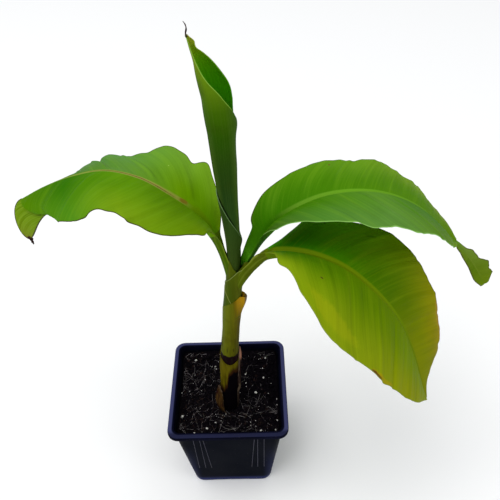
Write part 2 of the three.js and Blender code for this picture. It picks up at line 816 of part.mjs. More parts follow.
const leftPoint = new THREE.Vector3(...HANGING_TIP.point);
const leftThreadStart = leftPoint.clone().add(new THREE.Vector3(0.1, 0, -GAP - 0.4));
buildThread("leaf_left_thread", leftThreadStart, new THREE.Vector3(...LEFT_THREAD_END), 0x2a1a14);
const spearThreadStart = new THREE.Vector3(MOUTH_X.at(-1), FORK_Y, SPEAR_TIP + GAP);
buildThread("leaf_rolled_thread", spearThreadStart, new THREE.Vector3(...SPEAR_THREAD_END), 0x2a2218);

export default plant;
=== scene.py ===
import math
import bpy
import numpy as np
from mathutils import Matrix, Vector


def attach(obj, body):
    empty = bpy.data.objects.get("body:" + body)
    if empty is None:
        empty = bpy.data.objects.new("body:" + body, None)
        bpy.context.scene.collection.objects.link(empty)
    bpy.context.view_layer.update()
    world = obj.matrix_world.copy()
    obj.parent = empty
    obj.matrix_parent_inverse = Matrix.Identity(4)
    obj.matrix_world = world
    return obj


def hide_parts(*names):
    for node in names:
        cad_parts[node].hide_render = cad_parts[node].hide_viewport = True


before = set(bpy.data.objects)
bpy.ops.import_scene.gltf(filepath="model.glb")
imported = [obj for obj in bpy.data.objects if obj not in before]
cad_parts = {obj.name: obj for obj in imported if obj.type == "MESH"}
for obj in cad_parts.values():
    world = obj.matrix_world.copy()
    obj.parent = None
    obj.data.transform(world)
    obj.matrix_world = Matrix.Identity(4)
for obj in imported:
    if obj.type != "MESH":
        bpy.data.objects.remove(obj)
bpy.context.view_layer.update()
MM = 0.001

# ------------------------- view and light
# The plant is seen from in front and above, a little turned and tilted, as someone
# at arm's length over a pale table sees it. Camera and lamps are placed in metres,
# and the camera's turns are in degrees.
CAMERA_PLACE = (0.02524, -0.28549, 0.48876)
CAMERA_DOWN = 42.07
CAMERA_HEADING = 0.922
CAMERA_ROLL = -2.123
CAMERA_LENS = 44.14

view = bpy.data.cameras.new("view")
view.lens = CAMERA_LENS
view.sensor_width = 36
view.clip_start = 0.01
eye = bpy.data.objects.new("view", view)
eye.location = CAMERA_PLACE
turn = Matrix.Rotation(math.radians(CAMERA_HEADING), 3, "Z")
turn = turn @ Matrix.Rotation(math.radians(90 - CAMERA_DOWN), 3, "X")
turn = turn @ Matrix.Rotation(math.radians(CAMERA_ROLL), 3, "Z")
eye.rotation_euler = turn.to_euler()
bpy.context.scene.collection.objects.link(eye)
bpy.context.scene.camera = eye
bpy.context.scene.view_settings.view_transform = "Standard"

# The table top is a plain pale sheet that runs out of sight on every side.
FLOOR_REACH = 6
floor_mesh = bpy.data.meshes.new("floor")
floor_corners = [(-1, -1), (1, -1), (1, 1), (-1, 1)]
floor_points = [(FLOOR_REACH * x, FLOOR_REACH * y, 0) for x, y in floor_corners]
floor_mesh.from_pydata(floor_points, [], [(0, 1, 2, 3)])
floor = bpy.data.objects.new("floor", floor_mesh)
bpy.context.scene.collection.objects.link(floor)
floor_paint = bpy.data.materials.new("pale_floor")
floor_paint.use_nodes = True
floor_shader = floor_paint.node_tree.nodes["Principled BSDF"]
floor_shader.inputs["Base Color"].default_value = (0.95, 0.95, 0.95, 1)
floor_shader.inputs["Roughness"].default_value = 0.9
floor_shader.inputs["Specular IOR Level"].default_value = 0
floor_mesh.materials.append(floor_paint)

# Light comes from a bright even room and from broad soft lamps overhead.
ROOM_LIGHT = 0.66
room = bpy.data.worlds.new("room")
room.use_nodes = True
room.node_tree.nodes["Background"].inputs["Color"].default_value = (0.97, 0.985, 1, 1)
room.node_tree.nodes["Background"].inputs["Strength"].default_value = ROOM_LIGHT
bpy.context.scene.world = room


def soft_lamp(name, place, size, power):
    """A square lamp, placed and sized in metres, that faces the plant."""
    lamp = bpy.data.lights.new(name, "AREA")
    lamp.size = size
    lamp.energy = power
    holder = bpy.data.objects.new(name, lamp)
    holder.location = place
    aim = Vector((0, 0, 0.2)) - holder.location
    holder.rotation_euler = aim.to_track_quat("-Z", "Y").to_euler()
    bpy.context.scene.collection.objects.link(holder)


soft_lamp("lamp_above", (-0.9, -0.5, 3.2), size=2.2, power=60)
soft_lamp("lamp_right", (2.4, -1.2, 2.2), size=1.2, power=8)

# ------------------------- pot
# A thin-walled square nursery pot, moulded in near-black blue plastic. Its rim is
# turned down all round, three fine ribs stand on either side of each wall, and it
# drains through four holes in its floor and under four shallow arches.
POT_HEIGHT = 88
RIM_WIDTH = 90
BASE_WIDTH = 64
RIM_CORNER = 8
BASE_CORNER = 8
WALL = 0.9
POT_FLOOR = 2.3
FLANGE = 4.7
SKIRT = 4
SKIRT_THICKNESS = 1
RIB_OFFSETS = ((16.2, 19.4), (21.0, 21.8), (26.1, 26.6))
RIB_FOOT = 26
RIB_HEAD = 79
RIB_WIDTH = 0.45
RIB_RELIEF = 0.28
RIB_ROWS = 14
ARCH_LENGTH = 40
ARCH_HEIGHT = 1.7
DRAIN_WIDTH = 7
DRAIN_SPACING = 38
ROUND_SIDES = 40


def wall_width(z):
    """The outside width of the tapered walls at a height."""
    top = RIM_WIDTH - 2 * FLANGE + 2 * WALL
    return BASE_WIDTH + (top - BASE_WIDTH) * z / POT_HEIGHT


def wall_corner(z):
    return BASE_CORNER + (RIM_CORNER - FLANGE / 2 - BASE_CORNER) * z / POT_HEIGHT


def square_ring(width, corner, z, bend=8, straight=6):
    """Points round a square with round corners, the same number for every width."""
    reach = width / 2 - corner
    middles = [(reach, reach), (-reach, reach), (-reach, -reach), (reach, -reach)]
    arcs = []
    for side, (x, y) in enumerate(middles):
        angles = math.pi / 2 * (side + np.linspace(0, 1, bend + 1))
        arc = [x + corner * np.cos(angles), y + corner * np.sin(angles)]
        arcs.append(np.stack(arc, axis=1))
    ring = []
    for side in range(4):
        start = arcs[side][-1]
        end = arcs[(side + 1) % 4][0]
        shares = np.linspace(0, 1, straight + 2)[1:-1, None]
        ring += [arcs[side], start + (end - start) * shares]
    ring = np.concatenate(ring)
    return np.column_stack([ring, np.full(len(ring), z)])


def quads(grid):
    """The four-cornered faces of a grid of point numbers."""
    corners = [grid[:-1, :-1], grid[1:, :-1], grid[1:, 1:], grid[:-1, 1:]]
    return np.stack(corners, axis=-1).reshape(-1, 4)


def outward(points, faces):
    """The same faces, all turned round if the body they close is inside out."""
    fans = [(f[0], f[i], f[i + 1]) for f in faces for i in range(1, len(f) - 1)]
    a, b, c = points[np.array(fans)].transpose(1, 0, 2)
    volume = np.einsum("ij,ij->", a, np.cross(b, c))
    return faces if volume > 0 else [face[::-1] for face in faces]


def ring_body(rings):
    """Points and faces of a closed body through a stack of rings."""
    rings = np.asarray(rings, float)
    count, sides = rings.shape[:2]
    number = np.arange(count * sides).reshape(count, sides)
    closed = np.concatenate([number, number[:, :1]], axis=1)
    faces = quads(closed)[:, ::-1].tolist()
    faces.append(number[0][::-1].tolist())
    faces.append(number[-1].tolist())
    points = rings.reshape(-1, 3)
    return points, outward(points, faces)


def new_piece(name, points, faces, measures=None, crease=48):
    """An object from points in millimetres. Measures are numbers kept at each point
    for its finish, and edges sharper than the crease angle stay crisp."""
    mesh = bpy.data.meshes.new(name)
    mesh.from_pydata((np.asarray(points, float) * MM).tolist(), [], faces)
    for label, values in (measures or {}).items():
        layer = mesh.attributes.new(label, "FLOAT", "POINT")
        layer.data.foreach_set("value", np.asarray(values, np.float32).ravel())
    mesh.polygons.foreach_set("use_smooth", [True] * len(mesh.polygons))
    mesh.set_sharp_from_angle(angle=math.radians(crease))
    piece = bpy.data.objects.new(name, mesh)
    bpy.context.scene.collection.objects.link(piece)
    return piece


def drill(piece, cutter):
    """Takes the cutter's body out of a piece, and throws the cutter away."""
    cut = piece.modifiers.new("cut", "BOOLEAN")
    cut.object = cutter
    cut.solver = "EXACT"
    shape = piece.evaluated_get(bpy.context.evaluated_depsgraph_get())
    mesh = bpy.data.meshes.new_from_object(shape)
    piece.modifiers.remove(cut)
    piece.data = mesh
    bpy.data.objects.remove(cutter)


def tint(colour):
    """A colour given as three screen values from 0 to 255, as the light it gives off.
    A colour that is worked out over the surface is passed on as it is."""
    if not isinstance(colour, tuple):
        return colour
    values = [value / 255 for value in colour]
    light = [v / 12.92 if v <= 0.04045 else ((v + 0.055) / 1.055) ** 2.4 for v in values]
    return (*light, 1)


class Finish:
    """A surface finish whose colour and relief are worked out over the surface,
    from where each point lies and from the measures kept there."""

    def __init__(self, name, roughness, gloss):
        self.material = bpy.data.materials.new(name)
        self.material.use_nodes = True
        self.tree = self.material.node_tree
        self.shader = self.tree.nodes["Principled BSDF"]
        self.shader.inputs["Roughness"].default_value = roughness
        self.shader.inputs["Specular IOR Level"].default_value = gloss

    def node(self, kind, inputs, output=0, **settings):
        made = self.tree.nodes.new(kind)
        for name, value in settings.items():
            setattr(made, name, value)
        for socket, value in inputs.items():
            self.feed(made.inputs[socket], value)
        return made.outputs[output]

    def feed(self, socket, value):
        if isinstance(value, bpy.types.NodeSocket):
            self.tree.links.new(value, socket)
        else:
            socket.default_value = value

    def place(self):
        return self.node("ShaderNodeTexCoord", {}, "Object")

    def position(self, axis):
        """How far a point lies along X, Y or Z, in metres."""
        return self.node("ShaderNodeSeparateXYZ", {0: self.place()}, axis)

    def measure(self, name):
        return self.node("ShaderNodeAttribute", {}, "Fac", attribute_name=name)

    def math(self, operation, a, b=0.0):
        return self.node("ShaderNodeMath", {0: a, 1: b}, operation=operation)

    def times(self, a, b):
        return self.math("MULTIPLY", a, b)

    def plus(self, a, b):
        return self.math("ADD", a, b)

    def minus(self, a, b):
        return self.math("SUBTRACT", a, b)

    def larger(self, a, b):
        return self.math("MAXIMUM", a, b)

    def size(self, a):
        return self.math("ABSOLUTE", a)

    def step(self, value, low, high, bottom=0.0, top=1.0):
        """Rises smoothly from bottom to top as the value goes from low to high."""
        inputs = {0: value, 1: low, 2: high, 3: bottom, 4: top}
        return self.node("ShaderNodeMapRange", inputs, interpolation_type="SMOOTHSTEP")

    def between(self, axis, low, high, bottom=0.0, top=1.0):
        """A smooth rise between two places on the X, Y or Z axis, in millimetres."""
        return self.step(self.position(axis), low * MM, high * MM, bottom, top)

    def vector(self, x, y, z=0.0):
        return self.node("ShaderNodeCombineXYZ", {0: x, 1: y, 2: z})

    def noise(self, scale, detail=2.0, where=None):
        """Cloudy values from 0 to 1, over the piece itself if no other place is given."""
        inputs = {"Vector": where or self.place(), "Scale": scale, "Detail": detail}
        return self.node("ShaderNodeTexNoise", inputs)

    def grain(self, stretch, scale, detail):
        """Cloudy values drawn out upwards into streaks or fibres."""
        inputs = {0: self.place(), 1: (1, 1, stretch)}
        where = self.node("ShaderNodeVectorMath", inputs, operation="MULTIPLY")
        return self.noise(scale, detail, where)

    def mix(self, share, a, b):
        inputs = {0: share, 6: tint(a), 7: tint(b)}
        return self.node("ShaderNodeMix", inputs, 2, data_type="RGBA")

    def ramp(self, value, stops):
        """Colours in turn along a value from 0 to 1, as (place, colour) pairs."""
        made = self.tree.nodes.new("ShaderNodeValToRGB")
        bar = made.color_ramp.elements
        while len(bar) < len(stops):
            bar.new(0.5)
        for mark, (place, colour) in zip(bar, stops):
            mark.position = place
            mark.color = tint(colour)
        self.feed(made.inputs[0], value)
        return made.outputs[0]

    def colour(self, value):
        self.feed(self.shader.inputs["Base Color"], value)

    def roughness(self, value):
        self.feed(self.shader.inputs["Roughness"], value)

    def relief(self, height, depth):
        """Bumps this deep, in millimetres, where the height goes from 0 to 1."""
        inputs = {"Strength": 1.0, "Distance": depth * MM, "Height": height}
        self.feed(self.shader.inputs["Normal"], self.node("ShaderNodeBump", inputs))


def fit(piece, finish, slot, *nodes):
    """Gives a piece its finish, fixes it to the plant's one body, and lets it stand for these plain solids,
    if there are any. The slot is not used."""
    piece.data.materials.clear()
    piece.data.materials.append(finish.material)
    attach(piece, "root")
    if nodes:
        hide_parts(*nodes)


under_flange = POT_HEIGHT - SKIRT_THICKNESS
skirt_foot = POT_HEIGHT - SKIRT
foot_profile = [(1.1, 0.0), (0.5, 0.25), (0.1, 0.8), (0.0, 1.6)]
rim_profile = [
    (SKIRT_THICKNESS + 0.3, under_flange),
    (SKIRT_THICKNESS, under_flange - 0.4),
    (SKIRT_THICKNESS, skirt_foot + 0.2),
    (SKIRT_THICKNESS / 2, skirt_foot),
    (0.05, skirt_foot + 0.25),
    (0.0, skirt_foot + 1.2),
    (0.0, POT_HEIGHT - 1.5),
    (0.12, POT_HEIGHT - 0.8),
    (0.45, POT_HEIGHT - 0.25),
    (1.1, POT_HEIGHT),
    (2.4, POT_HEIGHT - 0.05),
]
mouth_profile = [(1.4, 0.1), (0.6, 0.3), (0.1, 0.9)]
mouth_width = wall_width(POT_HEIGHT) - 2 * WALL
mouth_corner = wall_corner(POT_HEIGHT) - WALL
head = POT_HEIGHT - 2
outline = [(wall_width(z) - 2 * inset, wall_corner(z), z) for inset, z in foot_profile]
outline += [(wall_width(z), wall_corner(z), z) for z in np.linspace(6, POT_HEIGHT - 3, 12)]
outline.append((wall_width(head) + 0.4, wall_corner(head), under_flange - 0.5))
outline.append((wall_width(head) + 1.6, wall_corner(head) + 0.4, under_flange))
outline += [(RIM_WIDTH - 2 * inset, RIM_CORNER - inset, z) for inset, z in rim_profile]
for spread, drop in mouth_profile:
    outline.append((mouth_width + spread, mouth_corner + spread / 2, POT_HEIGHT - drop))
for z in (84, 60, 30, POT_FLOOR):
    outline.append((wall_width(z) - 2 * WALL, wall_corner(z) - WALL, z))
pot_rings = [square_ring(*line) for line in outline]
# The rings of the rim's rounded outer top edge, where a painted highlight goes.
worn = [RIM_WIDTH - 6 < width < RIM_WIDTH - 0.6 and z > under_flange for width, _, z in outline]
measures = {"worn": np.repeat(worn, len(pot_rings[0]))}
pot = new_piece("nursery_pot", *ring_body(pot_rings), measures)


def oval(middle, across, over):
    """A ring of points round a middle, that reaches this far in two directions."""
    angles = np.linspace(0, 2 * math.pi, ROUND_SIDES, endpoint=False)[:, None]
    return middle + np.cos(angles) * across + np.sin(angles) * over


def wall_directions(wall):
    """The directions out of one of the four walls and along it."""
    facing = math.pi / 2 * wall
    out = np.array([math.cos(facing), math.sin(facing), 0])
    return out, np.array([-out[1], out[0], 0])


cutters = []
for wall in range(4):
    out, aside = wall_directions(wall)
    middles = [out * (BASE_WIDTH / 2 + depth) for depth in (-4, 4)]
    reach = aside * ARCH_LENGTH / 2
    cutters.append([oval(middle, reach, (0, 0, ARCH_HEIGHT)) for middle in middles])
drain_reach = (DRAIN_WIDTH / 2, 0, 0), (0, DRAIN_WIDTH / 2, 0)
for x in (-DRAIN_SPACING / 2, DRAIN_SPACING / 2):
    for y in (-DRAIN_SPACING / 2, DRAIN_SPACING / 2):
        cutters.append([oval((x, y, z), *drain_reach) for z in (-3, 6)])
for rings in cutters:
    drill(pot, new_piece("cutter", *ring_body(rings)))


def wall_rib(wall, turned, low, high):
    """A fine rib on a wall, this far left or right of its middle low down and high up."""
    out, aside = wall_directions(wall)
    rings = []
    for z in np.linspace(RIB_FOOT, RIB_HEAD, RIB_ROWS):
        ends = min(1, (z - RIB_FOOT) / 3 + 0.15, (RIB_HEAD - z) / 3 + 0.15)
        offset = turned * (low + (high - low) * (z - RIB_FOOT) / (RIB_HEAD - RIB_FOOT))
        past_corner = max(0, abs(offset) - wall_width(z) / 2 + wall_corner(z))
        drop = wall_corner(z) - math.sqrt(wall_corner(z) ** 2 - past_corner ** 2)
        face = wall_width(z) / 2 - drop
        ring = []
        for side, lift in ((-1, -0.3), (-0.7, 0.6 * ends), (0, ends), (0.7, 0.6 * ends), (1, -0.3)):
            place = aside * (offset + side * RIB_WIDTH / 2) + out * (face + lift * RIB_RELIEF)
            ring.append(place + (0, 0, z))
        rings.append(ring)
    return ring_body(rings)


def joined(name, bodies, measures=None, crease=48):
    """One piece from many closed bodies."""
    points = np.concatenate([body[0] for body in bodies])
    faces = []
    start = 0
    for body_points, body_faces in bodies:
        faces += [[start + corner for corner in face] for face in body_faces]
        start += len(body_points)
    return new_piece(name, points, faces, measures, crease)


rib_places = [(turned, *pair) for turned in (-1, 1) for pair in RIB_OFFSETS]
wall_ribs = [wall_rib(wall, *place) for wall in range(4) for place in rib_places]
pot_ribs = joined("pot_wall_ribs", wall_ribs)

plastic = Finish("pot_plastic", roughness=0.4, gloss=0.006)
cloud = plastic.noise(28.0, 4.0)
# Painted sheen: the wall is painted a lighter blue near its foot and up its lower corners, where the dark
# plastic catches the light.
near_side, near_wall = (plastic.size(plastic.position(axis)) for axis in "XY")
corner = plastic.step(plastic.math("MINIMUM", near_side, near_wall), 24 * MM, 33 * MM)
corner = plastic.times(corner, plastic.between("Z", 70, 12, 0, 0.4))
painted_sheen = plastic.larger(plastic.between("Z", 9, 3), corner)
wall_blue = plastic.mix(painted_sheen, (6, 9, 19), (44, 50, 92))
rim_blue = plastic.mix(plastic.step(cloud, 0.35, 0.7), (5, 6, 20), (11, 13, 34))
# A painted highlight along the rim's outer edge, weaker along the front.
off_front = plastic.between("Y", -42, -38, 0.3, 1)
painted_highlight = plastic.times(plastic.step(plastic.measure("worn"), 0.3, 0.8), off_front)
rim_blue = plastic.mix(painted_highlight, rim_blue, (62, 65, 104))
on_rim = plastic.between("Z", skirt_foot - 0.5, skirt_foot + 0.6)
blue = plastic.mix(on_rim, wall_blue, rim_blue)
dusty = plastic.step(plastic.noise(900.0), 0.66, 0.78, 0, 0.3)
plastic.colour(plastic.mix(dusty, blue, (92, 86, 88)))
plastic.roughness(plastic.step(cloud, 0.3, 0.75, 0.3, 0.5))
plastic.relief(plastic.noise(420.0, 3.0), 0.035)
pot.data.set_sharp_from_angle(angle=math.radians(40))
fit(pot, plastic, "pot_plastic", "pot")

# The ribs are the pot's own plastic, painted a lighter grey as a broken painted highlight where they stand
# out and catch the light.
highlit_rib_plastic = Finish("pot_rib_plastic", roughness=0.34, gloss=0.12)
highlit_rib_plastic.colour(highlit_rib_plastic.mix(highlit_rib_plastic.noise(260.0, 3.0), (12, 12, 26), (80, 80, 98)))
highlit_rib_plastic.relief(highlit_rib_plastic.noise(500.0), 0.02)
fit(pot_ribs, highlit_rib_plastic, "pot_plastic")

# ------------------------- compost
# Moist dark peat compost, filled to a finger's width under the rim and watered down
# uneven. Crumbs and slivers of bark lie on it, with fine pale roots and white grains.
SOIL_TOP = POT_HEIGHT - 10
SOIL_CLEAR = 0.3
STEM_FOOT = (0.4, -10.0)
HEAP_HEIGHT = 2.8
HEAP_REACH = 15
BANK_HEIGHT = 5.2
BANK_START = 20
BANK_REACH = 18


def lumps(x, y, size, seed):
    """Smooth uneven ground between -1 and 1, with bumps about this many mm across."""
    cells = 64
    table = np.random.default_rng(seed).uniform(-1, 1, (cells, cells))
    u = np.asarray(x, float) / size
    v = np.asarray(y, float) / size
    i = np.floor(u).astype(int)
    j = np.floor(v).astype(int)
    fu = (u - i) ** 2 * (3 - 2 * (u - i))
    fv = (v - j) ** 2 * (3 - 2 * (v - j))
    a = table[i % cells, j % cells]
    b = table[(i + 1) % cells, j % cells]
    c = table[i % cells, (j + 1) % cells]
    d = table[(i + 1) % cells, (j + 1) % cells]
    return (a * (1 - fu) + b * fu) * (1 - fv) + (c * (1 - fu) + d * fu) * fv


def mound(distance, reach):
    """1 where the distance is nothing, falling away smoothly beyond its reach."""
    return np.exp(-((distance / reach) ** 2))


def soil_height(x, y):
    """The compost's surface: heaped a little at the stem and banked up against the
    back wall, uneven all over."""
    from_stem = np.hypot(x - STEM_FOOT[0], y - STEM_FOOT[1])
    heap = HEAP_HEIGHT * mound(from_stem, HEAP_REACH)
    up_bank = np.clip((np.asarray(y, float) - BANK_START) / BANK_REACH, 0, 1)
    bank = BANK_HEIGHT * up_bank ** 1.5
    rough = 1.3 * lumps(x, y, 17, 1) + 0.9 * lumps(x, y, 7, 2)
    crumbly = 0.55 * lumps(x, y, 2.9, 3) + 0.4 * np.abs(lumps(x, y, 1.5, 4))
    return SOIL_TOP - 0.4 + heap + bank + rough + crumbly


def bed_width(z):
    """How wide the compost is at a height, a little clear of the pot's walls."""
    return wall_width(z) - 2 * (WALL + SOIL_CLEAR)


bed_corner = wall_corner(SOIL_TOP) - WALL
soil_ring = square_ring(bed_width(SOIL_TOP), bed_corner, 0, bend=24, straight=76)
soil_rings = []
for z in (POT_FLOOR + SOIL_CLEAR, 30, 60, 74):
    shrink = bed_width(z) / (2 * soil_ring[:, 0].max())
    soil_rings.append(soil_ring * shrink + (0, 0, z))
for share in 1 - np.linspace(0, 0.985, 92):
    x, y, _ = (soil_ring * share).T
    soil_rings.append(np.column_stack([x, y, soil_height(x, y)]))
compost = new_piece("compost_bed", *ring_body(soil_rings), crease=180)

peat = Finish("compost_peat", roughness=0.82, gloss=0.02)
grit = peat.noise(700.0, 5.0)
patches = peat.noise(95.0, 4.0)
dark = peat.mix(patches, (2, 1, 4), (13, 9, 14))
peat.colour(peat.mix(peat.step(grit, 0.56, 0.78), dark, (34, 29, 33)))
peat.roughness(peat.step(patches, 0.35, 0.6, 0.55, 0.95))
peat.relief(peat.noise(420.0, 6.0), 0.6)
fit(compost, peat, "compost", "compost")

# ------------------------- crumbs and bark
# Crumbs of the same peat lie loose on the bed, and among them a few slivers of brown
# composted bark. They are strewn there, each a little sunk in.


def soil_spots(count, seed, margin=3.5, clear=8.0):
    """Seeded places on the compost, clear of the stem and inside the pot's wall."""
    chance = np.random.default_rng(seed)
    reach = wall_width(SOIL_TOP) / 2 - WALL - margin
    spots = []
    while len(spots) < count:
        x, y = chance.uniform(-reach, reach, 2)
        if math.hypot(x - STEM_FOOT[0], y - STEM_FOOT[1]) > clear:
            spots.append((x, y))
    return spots


def crumb(centre, size, flat, chance, rings=5, sides=8):
    """A small uneven lump: its width, how flat it lies, and its own odd shape."""
    turned = chance.uniform(0, 2 * math.pi)
    wobble = chance.uniform(0.7, 1.25, (rings, sides))
    stretch = chance.uniform(0.75, 1.3)
    angles = np.arange(sides) * 2 * math.pi / sides
    stack = []
    for i in range(rings):
        lean = math.pi * (i + 0.5) / rings
        radius = size / 2 * math.sin(lean) * wobble[i]
        x = radius * np.cos(angles) * stretch
        y = radius * np.sin(angles) / stretch
        z = np.full(sides, -size / 2 * math.cos(lean) * flat)
        turned_x = x * math.cos(turned) - y * math.sin(turned)
        turned_y = x * math.sin(turned) + y * math.cos(turned)
        stack.append(np.column_stack([turned_x, turned_y, z]) + np.asarray(centre))
    return ring_body(stack)


def scattered(count, seed, sizes, flat, sink):
    """Crumbs strewn over the compost, each sunk by this share of its height."""
    chance = np.random.default_rng(seed)
    bodies = []
    for x, y in soil_spots(count, seed):
        size = chance.uniform(*sizes) if chance.random() > 0.15 else sizes[1]
        z = soil_height(x, y) + size * flat * (0.5 - sink)
        bodies.append(crumb((x, y, z), size, flat, chance))
    return bodies


def earthy(name, low, high, fineness):
    """A dull crumbly finish between two colours."""
    finish = Finish(name, roughness=0.85, gloss=0.03)
    finish.colour(finish.mix(finish.step(finish.noise(fineness, 3.0), 0.3, 0.7), low, high))
    finish.relief(finish.noise(fineness * 3), 0.12)
    return finish


peat_crumbs = scattered(900, 11, sizes=(0.8, 2.6), flat=0.7, sink=0.3)
dark_crumbs = joined("compost_crumbs", peat_crumbs, crease=70)
fit(dark_crumbs, earthy("crumb_peat", (1, 1, 3), (19, 15, 20), 500.0), "compost")

bark_slivers = scattered(70, 12, sizes=(0.8, 2.2), flat=0.45, sink=0.2)
brown_crumbs = joined("compost_bark", bark_slivers, crease=70)
fit(brown_crumbs, earthy("crumb_bark", (10, 7, 9), (46, 32, 29), 420.0), "compost")

# ------------------------- white grains
# Light expanded grains are mixed in to keep the compost open. The larger ones lie
# where watering has washed them free, and small broken ones are strewn between.
LARGE_GRAINS = [
    (-28, 31.5, 1.9), (-15, 26.3, 1.9), (-12, 26.3, 1.3), (-11, 23.6, 0.9), (29.5, 32.5, 1.4),
    (13, 18, 1.2), (27.5, 15, 1.6), (13.5, 9, 1.2), (21, -1, 2.1), (-36, -19.5, 2.2),
    (-10, -27, 1.5), (-16.5, -31, 1.8), (-26, -34.5, 1.8), (-20, -35.8, 1.1),
    (4.5, -27, 0.9), (24.5, -34, 1.6), (35.5, -34.5, 1.2), (37, -25.5, 1.1),
    (37.5, -6, 1.0), (37.5, -11, 0.9), (27, 24.2, 0.9), (-38, 2.5, 1.0),
]
SMALL_GRAINS = 70
GRAIN_FLATNESS = 0.85
GRAIN_LIFT = 0.3
chance = np.random.default_rng(21)
grain_bodies = []
for x, y, size in LARGE_GRAINS:
    centre = (x, y, soil_height(x, y) + GRAIN_LIFT * size)
    grain_bodies.append(crumb(centre, size, GRAIN_FLATNESS, chance, rings=7, sides=10))
for x, y in soil_spots(SMALL_GRAINS, 22):
    size = chance.uniform(0.35, 0.75)
    centre = (x, y, soil_height(x, y) + GRAIN_LIFT * size)
    grain_bodies.append(crumb(centre, size, GRAIN_FLATNESS, chance))
grains = joined("white_grains", grain_bodies, crease=75)
white = Finish("grain_white", roughness=0.7, gloss=0.3)
pits = white.noise(1400.0, 3.0)
white.colour(white.mix(pits, (150, 146, 138), (252, 250, 246)))
white.relief(pits, 0.25)
fit(grains, white, "compost")

# ------------------------- fine roots
# Dried grass-like roots and brown fibres are matted over the compost, thickest on its
# left side and towards the front. They wander over it and dip in and out.


def tube(path, radii, sides=5):
    """Points and faces of a closed round thread along a path."""
    path = np.asarray(path, float)
    ahead = np.gradient(path, axis=0)
    ahead /= np.linalg.norm(ahead, axis=1)[:, None]
    aside = np.cross(ahead, (0.31, -0.2, 0.93))
    aside /= np.linalg.norm(aside, axis=1)[:, None]
    over = np.cross(aside, ahead)
    angles = (np.arange(sides) * 2 * math.pi / sides)[None, :, None]
    ring = aside[:, None] * np.cos(angles) + over[:, None] * np.sin(angles)
    return ring_body(path[:, None] + np.asarray(radii, float)[:, None, None] * ring)


def root_thread(start, length, thick, chance, steps=22):
    """A fine root that wanders over the compost, dipping in and out of it."""
    x, y = start
    heading = chance.uniform(0, 2 * math.pi)
    bend = chance.normal(0, 0.07)
    pace = length / steps
    reach = wall_width(SOIL_TOP) / 2 - WALL - 1.5
    path = []
    for i in range(steps):
        lift = 0.45 + 0.35 * math.sin(i * 0.6 + start[0])
        path.append((x, y, soil_height(x, y) + lift))
        heading += bend + chance.normal(0, 0.09)
        while max(abs(x + pace * math.cos(heading)), abs(y + pace * math.sin(heading))) > reach:
            heading += 1.9
        x += pace * math.cos(heading)
        y += pace * math.sin(heading)
    radii = thick / 2 * np.linspace(1, 0.35, steps)
    return tube(path, radii)


def root_mat(count, seed, lengths, widths):
    """Roots strewn over the compost, more of them on its left side."""
    chance = np.random.default_rng(seed)
    bodies = []
    for x, y in soil_spots(count, seed, margin=2.5, clear=7.0):
        crowded = x < -3 or y < -16 or chance.random() < 0.22
        if crowded:
            length = chance.uniform(*lengths)
            bodies.append(root_thread((x, y), length, chance.uniform(*widths), chance))
    return bodies


long_roots = root_mat(150, 31, lengths=(9, 34), widths=(0.12, 0.26))
pale_roots = joined("pale_roots", long_roots, crease=180)
fit(pale_roots, earthy("root_pale", (54, 50, 54), (154, 148, 148), 300.0), "compost")
short_fibres = root_mat(300, 32, lengths=(4, 15), widths=(0.08, 0.2))
brown_roots = joined("brown_fibres", short_fibres, crease=180)
fit(brown_roots, earthy("fibre_brown", (26, 20, 20), (84, 66, 58), 300.0), "compost")

# ------------------------- stem
# The stem is no wood, only leaf sheaths wrapped round each other. The lowest has
# died back black from the soil, and ends in a notched lip over the next sheath.
# Its middle, its radius and every lip are given at even steps up or round it.
STEM_TOP = 222
STEM_X = [0.2, 1.2, 2, 2.8, 4.3, 5.9, 7.4, 9, 10.2]
STEM_Y = [-10, -9.8, -9.5, -9.2, -8.8, -8.5, -8.2, -8, -8]
STEM_RADIUS = [7.2, 6.4, 6.2, 6.5, 6.2, 5.9, 5.9, 5.6, 5.3]
SHEATH = 0.4


def flow(values, t):
    """A smooth curve through evenly spaced values, read at t from 0 to 1."""
    values = np.asarray(values, float)
    first = 2 * values[0] - values[1]
    last = 2 * values[-1] - values[-2]
    line = np.concatenate([[first], values, [last]])
    spot = np.asarray(t, float) * (len(values) - 1)
    i = np.clip(np.floor(spot).astype(int), 0, len(values) - 2)
    f = spot - i
    if values.ndim > 1:
        f = f[..., None]
    a, b, c, d = line[i], line[i + 1], line[i + 2], line[i + 3]
    bend = 2 * a - 5 * b + 4 * c - d + f * (3 * (b - c) + d - a)
    return b + 0.5 * f * (c - a + f * bend)


def around(values, bearing):
    """A smooth curve through values spaced evenly round a circle from the right."""
    count = len(values)
    line = [values[-1], *values, values[0], values[1]]
    spot = (np.asarray(bearing, float) % 360) / 360 * count
    return flow(line, (spot + 1) / (count + 2))


def rise(value, low, high):
    """0 below low, 1 above high, and smooth between."""
    share = np.clip((np.asarray(value, float) - low) / (high - low), 0, 1)
    return share * share * (3 - 2 * share)


def stem_at(z):
    """The stem's middle and radius at a height."""
    t = (np.asarray(z, float) - SOIL_TOP) / (STEM_TOP - SOIL_TOP)
    return flow(STEM_X, t), flow(STEM_Y, t), flow(STEM_RADIUS, t)


def place_round(x, y, reach, bearing, z):
    """Points that stand this far off a middle, each at its bearing and its height."""
    turn = np.radians(bearing)
    return np.stack([x + reach * np.cos(turn), y + reach * np.sin(turn), z + 0 * turn], axis=-1)


